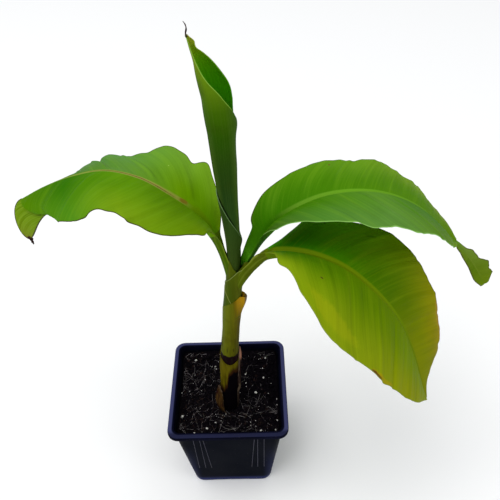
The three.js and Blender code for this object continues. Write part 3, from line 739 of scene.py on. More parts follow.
def sheath_wrap(low, high, swell, bury, rows=70, sides=120):
    """A sheath wrapped round the stem from a foot line up to its lip. `swell` is how
    far it stands out at each height and bearing; the lip turns in over the next."""
    bearing = np.arange(sides) * 360 / sides

    def ring(z, past_stem):
        x, y, radius = stem_at(z)
        return place_round(x, y, radius + past_stem, bearing, z)

    rings = []
    for t in np.linspace(0, 1, rows):
        z = low(bearing) + (high(bearing) - low(bearing)) * t
        grain = 0.07 * lumps(bearing / 4, z / 30, 1, 5) + 0.1 * lumps(bearing / 20, z / 9, 1, 6)
        rings.append(ring(z, swell(z, bearing, t) + grain))
    stands = swell(high(bearing), bearing, 1)
    lip = ((-0.15, 0.25), (0.1, 0.55), (1.5, 0.6 + 0.7 * stands), (bury, stands + 0.3))
    for drop, inset in lip:
        rings.append(ring(high(bearing) - drop, stands - inset))
    return ring_body(rings)


def line_round(*heights):
    """A line round the stem through heights at even bearings from the right."""
    return lambda bearing: around(heights, bearing)


def level(z):
    """A line round the stem that lies at one height."""
    return lambda bearing: np.full(len(bearing), float(z))


def foot_swell(z, bearing, t):
    return SHEATH + 0.35 * rise(96 - z, 0, 18) + 0.12 * rise(t, 0.95, 1)


def over_line(points, line):
    """How high each point of a sheath lies over a line round the stem."""
    x, y, radius = stem_at(np.clip(points[:, 2], SOIL_TOP, STEM_TOP))
    bearing = np.degrees(np.arctan2(points[:, 1] - y, points[:, 0] - x)) % 360
    return points[:, 2] - line(bearing)


foot_lip = line_round(136.8, 138.6, 140.8, 142.2, 141.8, 138.3, 135.1, 135.6)
stem_foot = new_piece(
    "stem_lowest_sheath", *sheath_wrap(level(SOIL_TOP - 2), foot_lip, foot_swell, bury=5))

lowest = Finish("sheath_lowest", roughness=0.5, gloss=0.012)
streaks = lowest.grain(0.16, 330.0, 4.0)
green = lowest.mix(lowest.step(streaks, 0.3, 0.7), (62, 54, 2), (94, 86, 8))
tongue = lowest.plus(
    lowest.between("X", -5.2, 0.5, 100 * MM, 107 * MM), lowest.between("X", -0.4, 2.8, 0, 17 * MM))
ragged = lowest.times(lowest.minus(streaks, 0.5), 15 * MM)
above_dead = lowest.plus(lowest.minus(lowest.position("Z"), tongue), ragged)
dead = lowest.mix(lowest.noise(160.0, 3.0), (1, 0, 3), (8, 4, 7))
scorched = lowest.mix(lowest.step(above_dead, 2.5 * MM, 9 * MM), (44, 24, 6), green)
lowest.colour(lowest.mix(lowest.step(above_dead, -1.5 * MM, 1.5 * MM), dead, scorched))
lowest.roughness(lowest.step(above_dead, 0, 4 * MM, 0.75, 0.45))
lowest.relief(streaks, 0.35)
fit(stem_foot, lowest, "stem_sheath", "stem_foot")

# ------------------------- cut sheath
# The next sheath carried a leaf that has been cut away: it ends in a slanting cut
# with a dried point on the right, and is stained purple where it leaves the lip.
CUT_LOW = 187
CUT_RISE = 15
CUT_BEARING = 345
POINT_REACH = 3.2
POINT_BEARING = 350


def from_bearing(bearing, middle):
    """Degrees round the stem between a bearing and a middle, always 0 to 180."""
    return np.abs((np.asarray(bearing, float) - middle + 180) % 360 - 180)


def cut_line(bearing):
    away = from_bearing(bearing, CUT_BEARING) / 180
    return CUT_LOW + CUT_RISE * (1 - away ** 1.5) - 2.5 * mound(away * 180, 17)


def cut_swell(z, bearing, t):
    point = mound(from_bearing(bearing, POINT_BEARING), 16)
    near_cut = rise(z, CUT_LOW - 6, CUT_LOW + 12)
    return 0.45 * rise(t, 0.55, 0.9) + POINT_REACH * point * near_cut


cut_sheath = new_piece(
    "stem_cut_sheath_wrap", *sheath_wrap(level(126), cut_line, cut_swell, bury=8, rows=110))

cut = Finish("sheath_cut", roughness=0.45, gloss=0.015)
streaks = cut.grain(0.1, 420.0, 3.0)
cloud = cut.noise(120.0, 3.0)
# Painted shade: the sheath is painted darker and browner towards its right side, away from the light.
shade_to_right = cut.minus(cut.position("X"), cut.times(cut.position("Z"), 0.09))
shade_to_right = cut.step(shade_to_right, -15 * MM, -5 * MM)
low_green = cut.mix(shade_to_right, (84, 90, 5), (60, 60, 2))
high_green = cut.mix(shade_to_right, (96, 108, 14), (86, 78, 3))
green = cut.mix(cut.between("Z", 140, 192), low_green, high_green)
green = cut.mix(cut.step(streaks, 0.4, 0.7, 0, 0.3), green, (114, 114, 14))
green = cut.mix(cut.step(cloud, 0.5, 0.75, 0, 0.4), green, (66, 60, 4))
orange = cut.times(cut.between("X", 8, 14, 0, 0.85), cut.between("Z", 176, 200))
green = cut.mix(orange, green, (190, 142, 14))
stain_top = cut.between("X", -4, 4, 145.5 * MM, 143.5 * MM)
stain_top = cut.plus(stain_top, cut.times(cut.minus(streaks, 0.5), 3 * MM))
stained = cut.step(cut.minus(cut.position("Z"), stain_top), 0.6 * MM, -0.6 * MM)
green = cut.mix(stained, green, cut.mix(cloud, (8, 1, 3), (26, 5, 10)))
skin = cut.mix(cut.between("X", 15.4, 17), green, (110, 92, 60))
# A dark strip at the left edge is painted shade in the narrow gap where the sheath's margin has come away.
# The dark cracks below it are in the dried skin itself.
gap_shade = cut.times(cut.between("Z", 161, 159), cut.between("Z", 151, 153))
gap_shade = cut.times(cut.between("X", -0.7, -1.1), gap_shade)
cracks = cut.times(cut.step(streaks, 0.6, 0.64, 0, 0.6), cut.between("Z", 156, 149))
cut.colour(cut.mix(cut.larger(gap_shade, cracks), skin, (20, 16, 8)))
cut.relief(streaks, 0.2)
fit(cut_sheath, cut, "stem_sheath", "stem_cut_sheath")

# ------------------------- inner sheaths
# Above the cut the youngest sheaths show. The outermost opens into the stalk of the
# lower right leaf, and its thin edge runs down and round the stem as a collar.
COLLAR_LOW = 211
COLLAR_RISE = 21
COLLAR_BEARING = 338
COLLAR_OPENS = 205
older_edge = line_round(194, 199, 206, 208, 207.3, 203, 195, 193)


def collar_line(bearing):
    away = from_bearing(bearing, COLLAR_BEARING) / 180
    return COLLAR_LOW + COLLAR_RISE * (1 - away) ** 1.4


def collar_swell(z, bearing, t):
    older = 0.3 * rise(older_edge(bearing) - z, -0.2, 0.2)
    opening = 0.95 * (np.maximum(z - COLLAR_OPENS, 0) / 6) ** 1.4
    opening = opening * mound(from_bearing(bearing, COLLAR_BEARING), 36)
    return older + 0.1 * rise(t, 0.85, 1) + opening


collar_points, collar_faces = sheath_wrap(
    level(182), collar_line, collar_swell, bury=10, rows=110)
measures = {
    "over_older": over_line(collar_points, older_edge),
    "over_lip": over_line(collar_points, collar_line),
}
collar = new_piece("stem_inner_sheath_wraps", collar_points, collar_faces, measures)

inner = Finish("sheath_inner", roughness=0.45, gloss=0.015)
streaks = inner.grain(0.1, 420.0, 3.0)
over_older = inner.measure("over_older")
green = inner.mix(inner.between("X", 4, 13), (62, 82, 6), (72, 78, 6))
green = inner.mix(inner.between("Z", 206, 222), green, (74, 88, 6))
green = inner.mix(inner.step(streaks, 0.4, 0.7, 0, 0.4), green, (98, 110, 16))
green = inner.mix(inner.step(inner.size(over_older), 0.5, 0.15), green, (128, 136, 66))
behind = inner.between("Y", -7, -5.5)
within = inner.times(inner.step(over_older, 50, 55), inner.between("X", 11, 13))
shaded = inner.times(inner.larger(behind, within), inner.between("Z", 214, 217))
green = inner.mix(shaded, green, (38, 104, 6))
lip = inner.times(inner.step(inner.measure("over_lip"), -0.7, -0.25), inner.step(behind, 1, 0))
inner.colour(inner.mix(lip, green, (126, 140, 70)))
inner.relief(streaks, 0.15)
fit(collar, inner, "stem_sheath", "stem_inner_sheaths")

# Inside the collar stands the sheath of the left leaf, lower on the right, with the
# foot of the rolled leaf in it. It is all younger than the collar's older edge.
mouth_line = line_round(222, 222, 224, 228, 231, 232.3, 226, 222.5)


def mouth_swell(z, bearing, t):
    return -0.45


mouth_points, mouth_faces = sheath_wrap(level(206), mouth_line, mouth_swell, bury=4)
measures = {
    "over_older": over_line(mouth_points, level(150)),
    "over_lip": over_line(mouth_points, mouth_line) - 2,
}
mouth_sheath = new_piece("stem_innermost_sheath", mouth_points, mouth_faces, measures)
fit(mouth_sheath, inner, "stem_sheath")

# ------------------------- husks
# Torn, dried remains of the first small leaf sheaths still stand round the stem's
# foot: a broad brown scale at the left that bulges out, a long strip that hugs it on
# the right, and a stub behind.
HUSK_THICKNESS = 0.5


def closed_sheet(top, under):
    """Points and faces of a closed sheet between two grids of the same size."""
    rows, columns = top.shape[:2]
    number = np.arange(rows * columns).reshape(rows, columns)
    below = number + rows * columns
    faces = quads(number).tolist() + quads(below)[:, ::-1].tolist()
    for line, under_line in (
        (number[0], below[0]),
        (number[-1][::-1], below[-1][::-1]),
        (number[:, -1], below[:, -1]),
        (number[::-1, 0], below[::-1, 0]),
    ):
        faces += quads(np.stack([line, under_line])).tolist()
    points = np.concatenate([top.reshape(-1, 3), under.reshape(-1, 3)])
    return points, outward(points, faces)


def husk(name, middle, spread, taper, height, stands_off, seed):
    """A torn shell round part of the stem, that narrows upwards by its taper. It
    stands off the stem by these distances, given at even steps from its foot."""
    up = np.linspace(0, 1, 20 + int(height))[:, None]
    across = np.linspace(-0.5, 0.5, 64)[None, :]
    bearing = middle + spread * across * (1 - taper * up ** 0.8) + 0 * up
    tears = 0.16 * np.abs(lumps(across * 9, 0 * up, 1, seed))
    tears = tears + 0.12 * np.abs(lumps(across * 23, 0 * up, 1, seed + 1))
    ragged = np.clip(1 - 0.55 * (2 * np.abs(across)) ** 2 - tears, 0.1, 1)
    z = SOIL_TOP - 2 + (height + 2) * up * ragged
    x, y, radius = stem_at(np.maximum(z, SOIL_TOP))
    wave = 0.35 * lumps(bearing / 9, z / 7, 1, seed + 2) * rise(up, 0, 0.2)
    curl = 0.4 * rise(up, 0.75, 1) * np.abs(lumps(bearing / 14, 0 * z, 1, seed + 3))
    r = radius + 0.75 + flow(stands_off, up) + np.abs(wave) + curl
    grids = [place_round(x, y, r + thick, bearing, z) for thick in (HUSK_THICKNESS, 0)]
    torn = 6 * np.minimum(1 - up, 0.5 - np.abs(across)) + 0 * up
    measures = {"torn": np.tile(torn.ravel(), 2)}
    return new_piece(name, *closed_sheet(*grids), measures, crease=60)


def husk_finish(name, low, high):
    """Papery, with fibres that run up it, purple blotches, a pale tip and a dark foot."""
    finish = Finish(name, roughness=0.7, gloss=0.015)
    fibres = finish.grain(0.22, 520.0, 4.0)
    colour = finish.mix(finish.step(fibres, 0.3, 0.7), low, high)
    colour = finish.mix(finish.step(finish.noise(190.0, 3.0), 0.5, 0.66), colour, (36, 8, 14))
    colour = finish.mix(finish.between("Z", 134, 139), colour, (150, 104, 84))
    colour = finish.mix(finish.between("Z", 87, 80), colour, (10, 7, 9))
    torn = finish.step(finish.measure("torn"), 0.35, 0.1, 0, 0.5)
    finish.colour(finish.mix(torn, colour, (112, 96, 78)))
    finish.relief(fibres, 0.5)
    return finish


HUSKS = {
    "husk_left": [
        {"middle": 210, "spread": 124, "taper": 0.5, "height": 37, "seed": 51,
         "stands_off": (0.2, 1.8, 2.6, 2.2, 1.0)},
        (42, 26, 14), (84, 60, 26),
    ],
    "husk_right": [
        {"middle": 347, "spread": 44, "taper": 0.6, "height": 73, "seed": 61,
         "stands_off": (0, -0.4, -0.4, -0.4, -0.4, -0.4, -0.3, 1.0, -0.3)},
        (16, 8, 8), (52, 40, 34),
    ],
    "husk_back": [
        {"middle": 80, "spread": 60, "taper": 0.35, "height": 14, "seed": 71,
         "stands_off": (0, 0.4, 1.4)},
        (34, 22, 16), (72, 50, 34),
    ],
}
for name, (shape, low, high) in HUSKS.items():
    fit(husk(name + "_shell", **shape), husk_finish(name + "_fibre", low, high), "husk", name)

# ------------------------- rolled leaf
# The youngest leaf stands upright, rolled like a quill. Its top has begun to open on
# the right, its lower half is wrapped by its other margin, and its tip has dried.
FORK_Y = -8
ROLL_FOOT = 222.3
ROLL_OPENING = 322
ROLL_TIP = 373.5
ROLL_X = [10.4, 10.8, 10.1, 9, 8.4, 8.0]
ROLL_RADIUS = [3.6, 3.8, 4.5, 5.5, 6.4, 7.2]
MOUTH_X = [8.0, 7.6, 7.2, 6.95, 6.0, 3.85, 1.25, -2.3, -5.0]
MOUTH_RADIUS = [7.2, 7.5, 7.65, 7.75, 7.7, 6.4, 4.5, 2.1, 0.5]
MOUTH_FRONT = [200, 186, 160, 128, 104, 77, 58, 52, 45]
MOUTH_BACK = [164, 166, 170, 174, 174, 172, 166, 162, 160]
ROLL_THICKNESS = 0.45
ROLL_ROWS = 240
ROLL_COLUMNS = 110
wrap_line = line_round(250, 262, 276, 284, 283.5, 275.5, 265.3, 256.5)


def roll_at(z):
    """The rolled leaf's middle and radius at a height."""
    low = (z - ROLL_FOOT) / (ROLL_OPENING - ROLL_FOOT)
    high = (z - ROLL_OPENING) / (ROLL_TIP - ROLL_OPENING)
    low, high = np.clip(low, 0, 1), np.clip(high, 0, 1)
    in_mouth = z > ROLL_OPENING
    x = np.where(in_mouth, flow(MOUTH_X, high), flow(ROLL_X, low))
    return x, np.where(in_mouth, flow(MOUTH_RADIUS, high), flow(ROLL_RADIUS, low))


def rolled_sheet():
    """The quill: a sheet rolled round from its back margin to its front margin."""
    z = np.linspace(ROLL_FOOT - 6, ROLL_TIP, ROLL_ROWS)[:, None]
    u = np.linspace(0, 1, ROLL_COLUMNS)[None, :]
    high = np.clip((z - ROLL_OPENING) / (ROLL_TIP - ROLL_OPENING), 0, 1)
    front = flow(MOUTH_FRONT, high)
    back = flow(MOUTH_BACK, high)
    angle = -back + (front + back) * u
    x, radius = roll_at(z)
    overlap = 0.55 * rise(angle, 90, 185) * rise(ROLL_OPENING - z, -20, 0)
    lip = 1.1 * rise(u, 0.86, 1) * mound(z - 325.5, 5)
    edge_curl = 0.25 * rise(u, 0.96, 1) * rise(z, 322, 330) + 0 * angle
    lobe = (0.9 * mound(z - 370.4, 1.5) - 0.7 * mound(z - 366.8, 1.6)) * rise(-angle, 80, 150)
    veins = 0.05 * np.sin(np.radians(angle) * 22 + 0.4 * lumps(z / 16, angle / 60, 1, 8))
    waves = 0.22 * lumps(z / 13, angle / 50, 1, 9)
    r = radius + overlap + lip + lobe + edge_curl + veins + waves * rise(radius, 1, 4)
    grids = []
    for inset in (0, ROLL_THICKNESS):
        reach = np.maximum(r - inset, 0.12)
        grids.append(place_round(x, FORK_Y, reach, 180 + angle, z))
    margin = np.minimum(u * (front + back), (1 - u) * (front + back))
    measures = {
        "inside": np.repeat([0, 1], ROLL_ROWS * ROLL_COLUMNS),
        "margin": np.tile((np.radians(margin) * radius).ravel(), 2),
        "angle": np.tile(angle.ravel(), 2),
        "over_wrap": np.tile((z - wrap_line(180 + angle)).ravel(), 2),
    }
    return *closed_sheet(*grids), measures


quill = new_piece("rolled_leaf_quill", *rolled_sheet(), crease=70)

roll = Finish("rolled_leaf_skin", roughness=0.5, gloss=0.01)
height = roll.position("Z")
turned = roll.measure("angle")
up = roll.node("ShaderNodeMapRange", {0: height, 1: 222 * MM, 2: 372 * MM})
outer = roll.ramp(up, [
    (0.0, (44, 62, 22)), (0.2, (34, 62, 24)), (0.4, (32, 62, 18)), (0.55, (34, 66, 8)),
    (0.66, (40, 80, 1)), (0.76, (60, 98, 2)), (0.88, (100, 134, 14)), (1.0, (150, 160, 40)),
])
# Painted sheen: the outside is painted paler grey-green towards both sides and round the back, away from
# the front, more strongly low down.
sides = roll.step(roll.size(roll.minus(turned, 96.0)), 22, 62)
outer = roll.mix(roll.times(sides, roll.between("Z", 345, 300, 0.25, 0.75)), outer, (70, 98, 34))
fine = roll.noise(1.0, 3.0, roll.vector(roll.times(turned, 0.5), roll.times(height, 20.0)))
outer = roll.mix(roll.step(fine, 0.4, 0.7, 0, 0.18), outer, (90, 112, 44))
outer = roll.mix(roll.step(roll.noise(70.0, 3.0), 0.45, 0.7, 0, 0.25), outer, (44, 62, 4))
# A painted shadow on the quill just above the wrapping margin's edge, widest at the left and narrowing
# towards the front.
wrap_shadow = roll.plus(roll.measure("over_wrap"), roll.times(turned, 0.04))
outer = roll.mix(roll.step(wrap_shadow, 7.3, 5.0, 0, 0.9), outer, (6, 22, 2))
spine_edge = roll.step(roll.size(roll.minus(turned, 2.0)), 13, 6, 0, 0.75)
outer = roll.mix(roll.times(spine_edge, roll.between("Z", 265, 290)), outer, (58, 48, 30))
inner_face = roll.ramp(up, [
    (0.64, (80, 158, 12)), (0.72, (76, 170, 8)), (0.8, (72, 168, 2)), (0.86, (82, 166, 2)),
    (0.92, (98, 162, 4)), (0.96, (122, 158, 12)), (1.0, (156, 164, 40)),
])
skin = roll.mix(roll.measure("inside"), outer, inner_face)
# The pale line along the front margin is partly the margin's own paler edge and partly a painted highlight.
pale_edge_and_highlight = roll.times(roll.step(roll.measure("margin"), 0.6, 0.15), roll.step(turned, 165, 140))
pale_edge_and_highlight = roll.times(pale_edge_and_highlight, roll.step(turned, 0, 1))
roll.colour(roll.mix(pale_edge_and_highlight, skin, (130, 172, 60)))
roll.relief(fine, 0.12)
fit(quill, roll, "leaf_rolled", "leaf_rolled", "leaf_rolled_mouth")

# ------------------------- margin round the rolled leaf
# The lower half of the rolled leaf is wrapped once more by its own outer margin, which
# ends in a slanting pale edge and bulges a little over the fork.
WRAP_ROWS = 80
WRAP_SIDES = 96


def roll_wrap():
    """The wrapping margin, with how far each point lies from its edge and round it."""
    bearing = np.arange(WRAP_SIDES) * 360 / WRAP_SIDES
    top = wrap_line(bearing)

    def ring(z, stands):
        x, radius = roll_at(z)
        bulge = 1.3 * mound(from_bearing(bearing, 355), 34) * mound(z - 247, 4.5)
        return place_round(x, FORK_Y, radius + 0.5 + bulge + stands, bearing, z)

    rings = []
    for t in np.linspace(0, 1, WRAP_ROWS):
        z = ROLL_FOOT - 6 + (top - ROLL_FOOT + 6) * t
        rings.append(ring(z, 0.06 * lumps(bearing / 7, z / 30, 1, 14)))
    rings += [ring(top - drop, -inset) for drop, inset in ((-0.1, 0.2), (0.2, 0.5), (10, 0.6))]
    edge = np.repeat([*np.linspace(1, 0, WRAP_ROWS), 0, 0, 0], WRAP_SIDES)
    return *ring_body(rings), {"edge": edge, "turn": np.tile(bearing, len(rings))}


wrap = new_piece("rolled_leaf_wrap", *roll_wrap(), crease=70)
margin = Finish("rolled_leaf_wrap_skin", roughness=0.5, gloss=0.01)
turned = margin.measure("turn")
upwards = margin.times(margin.position("Z"), 20.0)
fine = margin.noise(1.0, 3.0, margin.vector(margin.times(turned, 0.5), upwards))
green = margin.mix(margin.between("Z", 222, 275), (46, 66, 16), (38, 66, 20))
green = margin.mix(margin.step(fine, 0.4, 0.7, 0, 0.25), green, (84, 104, 46))
# Painted sheen: paler grey-green round the back and both sides, away from the front.
green = margin.mix(margin.step(turned, 232, 205, 0, 0.5), green, (84, 104, 56))
# The pale line along the margin's slanting edge is partly its own paler edge and partly a painted
# highlight.
pale_edge_and_highlight = margin.step(margin.measure("edge"), 0.016, 0.005)
margin.colour(margin.mix(pale_edge_and_highlight, green, (118, 150, 96)))
margin.relief(fine, 0.12)
fit(wrap, margin, "leaf_rolled")

# ------------------------- dry tip of the rolled leaf
# The tips of the leaves die first: each has dried and shrivelled to a dark twisted
# thread. This one stands on the point of the rolled leaf.


def dried_thread(name, path, thick, node):
    """A dead leaf tip, shrivelled to a dark twisted thread."""
    t = np.linspace(0, 1, 26)
    radii = thick * (1 - 0.65 * t) * (1 + 0.2 * np.sin(19 * t))
    piece = new_piece(name, *tube(flow(path, t), radii, sides=8), crease=80)
    fit(piece, earthy(name + "_skin", (24, 12, 12), (66, 40, 34), 600.0), "dry_tip", node)


dried_thread(
    "rolled_leaf_dried_tip",
    [(-5.0, -8, 372.2), (-5.3, -8, 374), (-4.8, -8, 376.4), (-5.1, -8, 378.3), (-6, -8, 379.8)],
    thick=0.52, node="leaf_rolled_thread")

# ------------------------- left leaf
# Each open leaf is one sheet: a gutter-shaped stalk that widens into the blade, with
# a rib under its middle and veins that run out from the rib to the margins. The left
# one arches over with its outer part folded down and its end hanging.
# All its lists run at even stations from the fork to the tip: the spine as distance
# out and height, and for each half its width, its lift in degrees and its sweep.
FORK_X = 7
BLADE_THICKNESS = 0.35
VEIN_LEAN = 0.45
VEIN_BEND = 0.004
STALK_STATIONS = 3
LEAF_STATIONS = 10

LEFT_LEAF = {
    "bearing": 178,
    "spine": [
        (-4, 212), (-2.8, 224), (0.2, 238), (6, 252), (16.5, 268), (31, 282), (46, 293),
        (64, 298), (82, 295), (100, 288), (116, 279),
    ],
    "far": {
        "fold": 85,
        "opens": 1.9,
        "width": [3, 3, 3.4, 4.6, 27, 37, 42, 39, 33, 27, 19],
        "lift": [30, 32, 34, 36, 23, 7, -20, -22, -25, -45, -55],
        "sweep": [-2, 3, 10, 4],
        "arch": 1.0,
        "nicks": [
            (0.175, 4.5, 0.025), (0.225, -3.5, 0.02), (0.31, 2.5, 0.03), (0.375, -4.5, 0.025),
            (0.48, -2, 0.03), (0.67, 3.5, 0.03), (0.73, -5, 0.018),
        ],
        "creases": [(47, 0.9, 1.6), (71, -1.0, 3.0), (76, 0.9, 1.2), (23, 0.5, 2.0), (40, -0.5, 2)],
    },
    "near": {
        "fold": 100,
        "opens": 1.9,
        "width": [3.2, 3.2, 3.6, 6, 25, 38, 41, 37, 36.5, 31.5, 18],
        "lift": [30, 32, 30, 16, 11, 6, 3, 4, -7, -15, -29],
        "sweep": [7, -3, -9, -17],
        "arch": 1.5,
        "nicks": [
            (0.08, 3, 0.03), (0.48, 2.5, 0.03), (0.56, 1.8, 0.03), (0.7, 1.5, 0.06), (0.92, -4, 0.04),
        ],
        "creases": [(34, 0.6, 2.0), (58, -0.5, 2.0), (80, 0.6, 1.6)],
    },
    "rib_half": [3.2, 3.2, 3.3, 3.3, 2.9, 2.5, 2.1, 1.7, 1.3, 1, 0.7],
    "rib_depth": [4.8, 4.8, 4.6, 4.0, 3.3, 2.8, 2.3, 2, 1.7, 1.3, 0.9],
    "channel": [1.2, 1.2, 1.1, 0.8, 0.6, 0.45, 0.4, 0.3, 0.25, 0.2, 0.1],
    "stalk": {
        "half": [3.2, 3.2, 3.1, 3.2],
        "drop": [1.8, 1.6, 1.4, 0.8],
        "above": [3.3, 3.4, 3.6, 3],
        "below": [3.6, 4.2, 4.2, 3.5],
    },
    "seed": 101,
}


def leaf_spine(leaf, station):
    """Where the rib runs at each station, with the directions ahead, aside and up."""
    bearing = math.radians(leaf["bearing"])
    out = np.array([math.cos(bearing), math.sin(bearing), 0])
    aside = np.array([-out[1], out[0], 0])
    aside = aside if aside[1] > 0 else -aside

    def run(at):
        line = flow(leaf["spine"], np.clip(at / LEAF_STATIONS, 0, 1))
        place = np.array([FORK_X, FORK_Y, 0]) + line[..., :1] * out
        return place + line[..., 1:] * np.array([0, 0, 1])

    ahead = run(station + 0.01) - run(station - 0.01)
    ahead /= np.linalg.norm(ahead, axis=-1)[..., None]
    up = np.cross(ahead, aside)
    up *= np.sign(np.cross(out, aside)[2])
    return run(station), ahead, aside, up


def gutter(stalk, fold, share, station):
    """Half of a stalk's cross-section, as how far aside and up from the rib line its
    inside and its outside lie: thick below, thin where its margin folds in."""
    along = np.clip(station / STALK_STATIONS, 0, 1)
    half, drop, above, below = (
        flow(stalk[label], along)[:, None] for label in ("half", "drop", "above", "below"))
    turn = np.radians(fold) * share
    wall = 0.5 + 0.5 * (1 - share)
    height = -np.cos(turn)
    outside = [half * np.sin(turn), height * np.where(height < 0, below, above) - drop]
    inside_below = below - 2.6 + 1.6 * share
    inside = [
        (half - wall) * np.sin(turn),
        height * np.where(height < 0, inside_below, above - wall) - drop,
    ]
    return np.stack(inside, axis=-1), np.stack(outside, axis=-1)


def half_sheet(leaf, half, sign, station, in_rib, beyond):
    """One half of a leaf from its rib to its margin, as its top and its underside."""
    share_along = station / LEAF_STATIONS
    t = (station - STALK_STATIONS) / (LEAF_STATIONS - STALK_STATIONS)
    place, ahead, aside, up = leaf_spine(leaf, station)
    width = np.maximum(flow(half["width"], share_along), 0.8)
    for where, size, spread in half["nicks"]:
        width = width + size * mound(t - where, spread)
    lift = np.radians(flow(half["lift"], share_along))
    sweep = flow(half["sweep"], np.clip(t, 0, 1)) * rise(t, -0.04, 0.05)
    rib_half = np.minimum(flow(leaf["rib_half"], share_along), 0.98 * width)
    zone = np.minimum(1.3 * rib_half, 0.92 * width)
    steps = [zone * k / in_rib for k in range(in_rib + 1)]
    steps += [zone + (width - zone) * k / beyond for k in range(1, beyond + 1)]
    out = np.stack(steps, axis=1)
    share = out / width[:, None]
    point = place[:, None] + sign * aside * (out * np.cos(lift)[:, None])[..., None]
    point = point + up[:, None] * (out * np.sin(lift)[:, None])[..., None]
    point = point + ahead[:, None] * (sweep[:, None] * share ** 2)[..., None]
    length = np.concatenate([[0], np.cumsum(np.linalg.norm(np.diff(place, axis=0), axis=1))])
    length = (length - np.interp(STALK_STATIONS, station, length))[:, None]
    vein = length + sweep[:, None] * share ** 2 - VEIN_LEAN * out - VEIN_BEND * out ** 2
    vein = vein + leaf.get("start", 0)

    across_run = np.gradient(point, axis=1)
    normal = np.cross(np.gradient(point, axis=0), across_run)
    normal /= np.maximum(np.linalg.norm(normal, axis=-1), 1e-9)[..., None]
    normal *= np.sign(np.einsum("ijk,ik->ij", normal, up))[..., None]

    on_blade = rise(t, 0.0, 0.1)[:, None]
    open_blade = on_blade * rise(out, rib_half[:, None], rib_half[:, None] + 7)
    seed = leaf["seed"] + (0 if sign > 0 else 40)
    relief = half["arch"] * 4 * share * (1 - share) * on_blade
    waves = [
        (0.5, vein / 9, out / 40, open_blade),
        (0.22, vein / 3.4, out / 30, open_blade),
        (0.7, length / 16, share * 2, share ** 3 * on_blade),
        (0.3, length / 5, 0 * share, share ** 6 * on_blade),
    ]
    for turn, (height, run, over, shows) in enumerate(waves):
        relief = relief + height * lumps(run, over, 1, seed + turn) * shows
    for where, size, spread in half["creases"]:
        relief = relief + size * mound(vein - where, spread) * open_blade
    channel = flow(leaf["channel"], share_along)[:, None]
    groove = channel * mound(out, 0.5 * rib_half[:, None])
    top = point + normal * relief[..., None] - up[:, None] * groove[..., None]
    rib_depth = flow(leaf["rib_depth"], share_along)[:, None]
    body = rib_depth * np.sqrt(np.clip(1 - (out / rib_half[:, None]) ** 2, 0, 1))
    edge = (1 - share) * width[:, None]
    thickness = BLADE_THICKNESS * (0.45 + 0.55 * rise(edge, 0, 1.2))
    under = top - normal * thickness[..., None] - up[:, None] * body[..., None]
    if "stalk" in leaf:
        gutter_top, gutter_under = gutter(leaf["stalk"], half["fold"], share, station)
        opened = rise(station, half["opens"], 3.3)[:, None, None]
        for sheet, gutter_line in ((top, gutter_top), (under, gutter_under)):
            closed = place[:, None] + sign * aside * gutter_line[..., :1]
            closed = closed + up[:, None] * gutter_line[..., 1:]
            sheet[...] = closed + (sheet - closed) * opened
    measures = {
        "along": t[:, None] + 0 * out,
        "across": sign * share,
        "vein": vein,
        "out": out,
        "edge": edge,
        "rib": out / rib_half[:, None],
    }
    return top, under, measures


def leaf_sheet(name, leaf, first, last, rows, in_rib, beyond):
    """A closed sheet for the stretch of a leaf between two stations."""
    station = np.linspace(first, last, rows)
    far = half_sheet(leaf, leaf["far"], 1, station, in_rib, beyond)
    near = half_sheet(leaf, leaf["near"], -1, station, in_rib, beyond)

    def both(far_grid, near_grid):
        return np.concatenate([near_grid[:, :0:-1], far_grid], axis=1)

    top = both(far[0], near[0])
    under = both(far[1], near[1])
    measures = {label: np.tile(both(far[2][label], near[2][label]).ravel(), 2) for label in far[2]}
    measures["below"] = np.repeat([0, 1], top.shape[0] * top.shape[1])
    return new_piece(name, *closed_sheet(top, under), measures, crease=60)


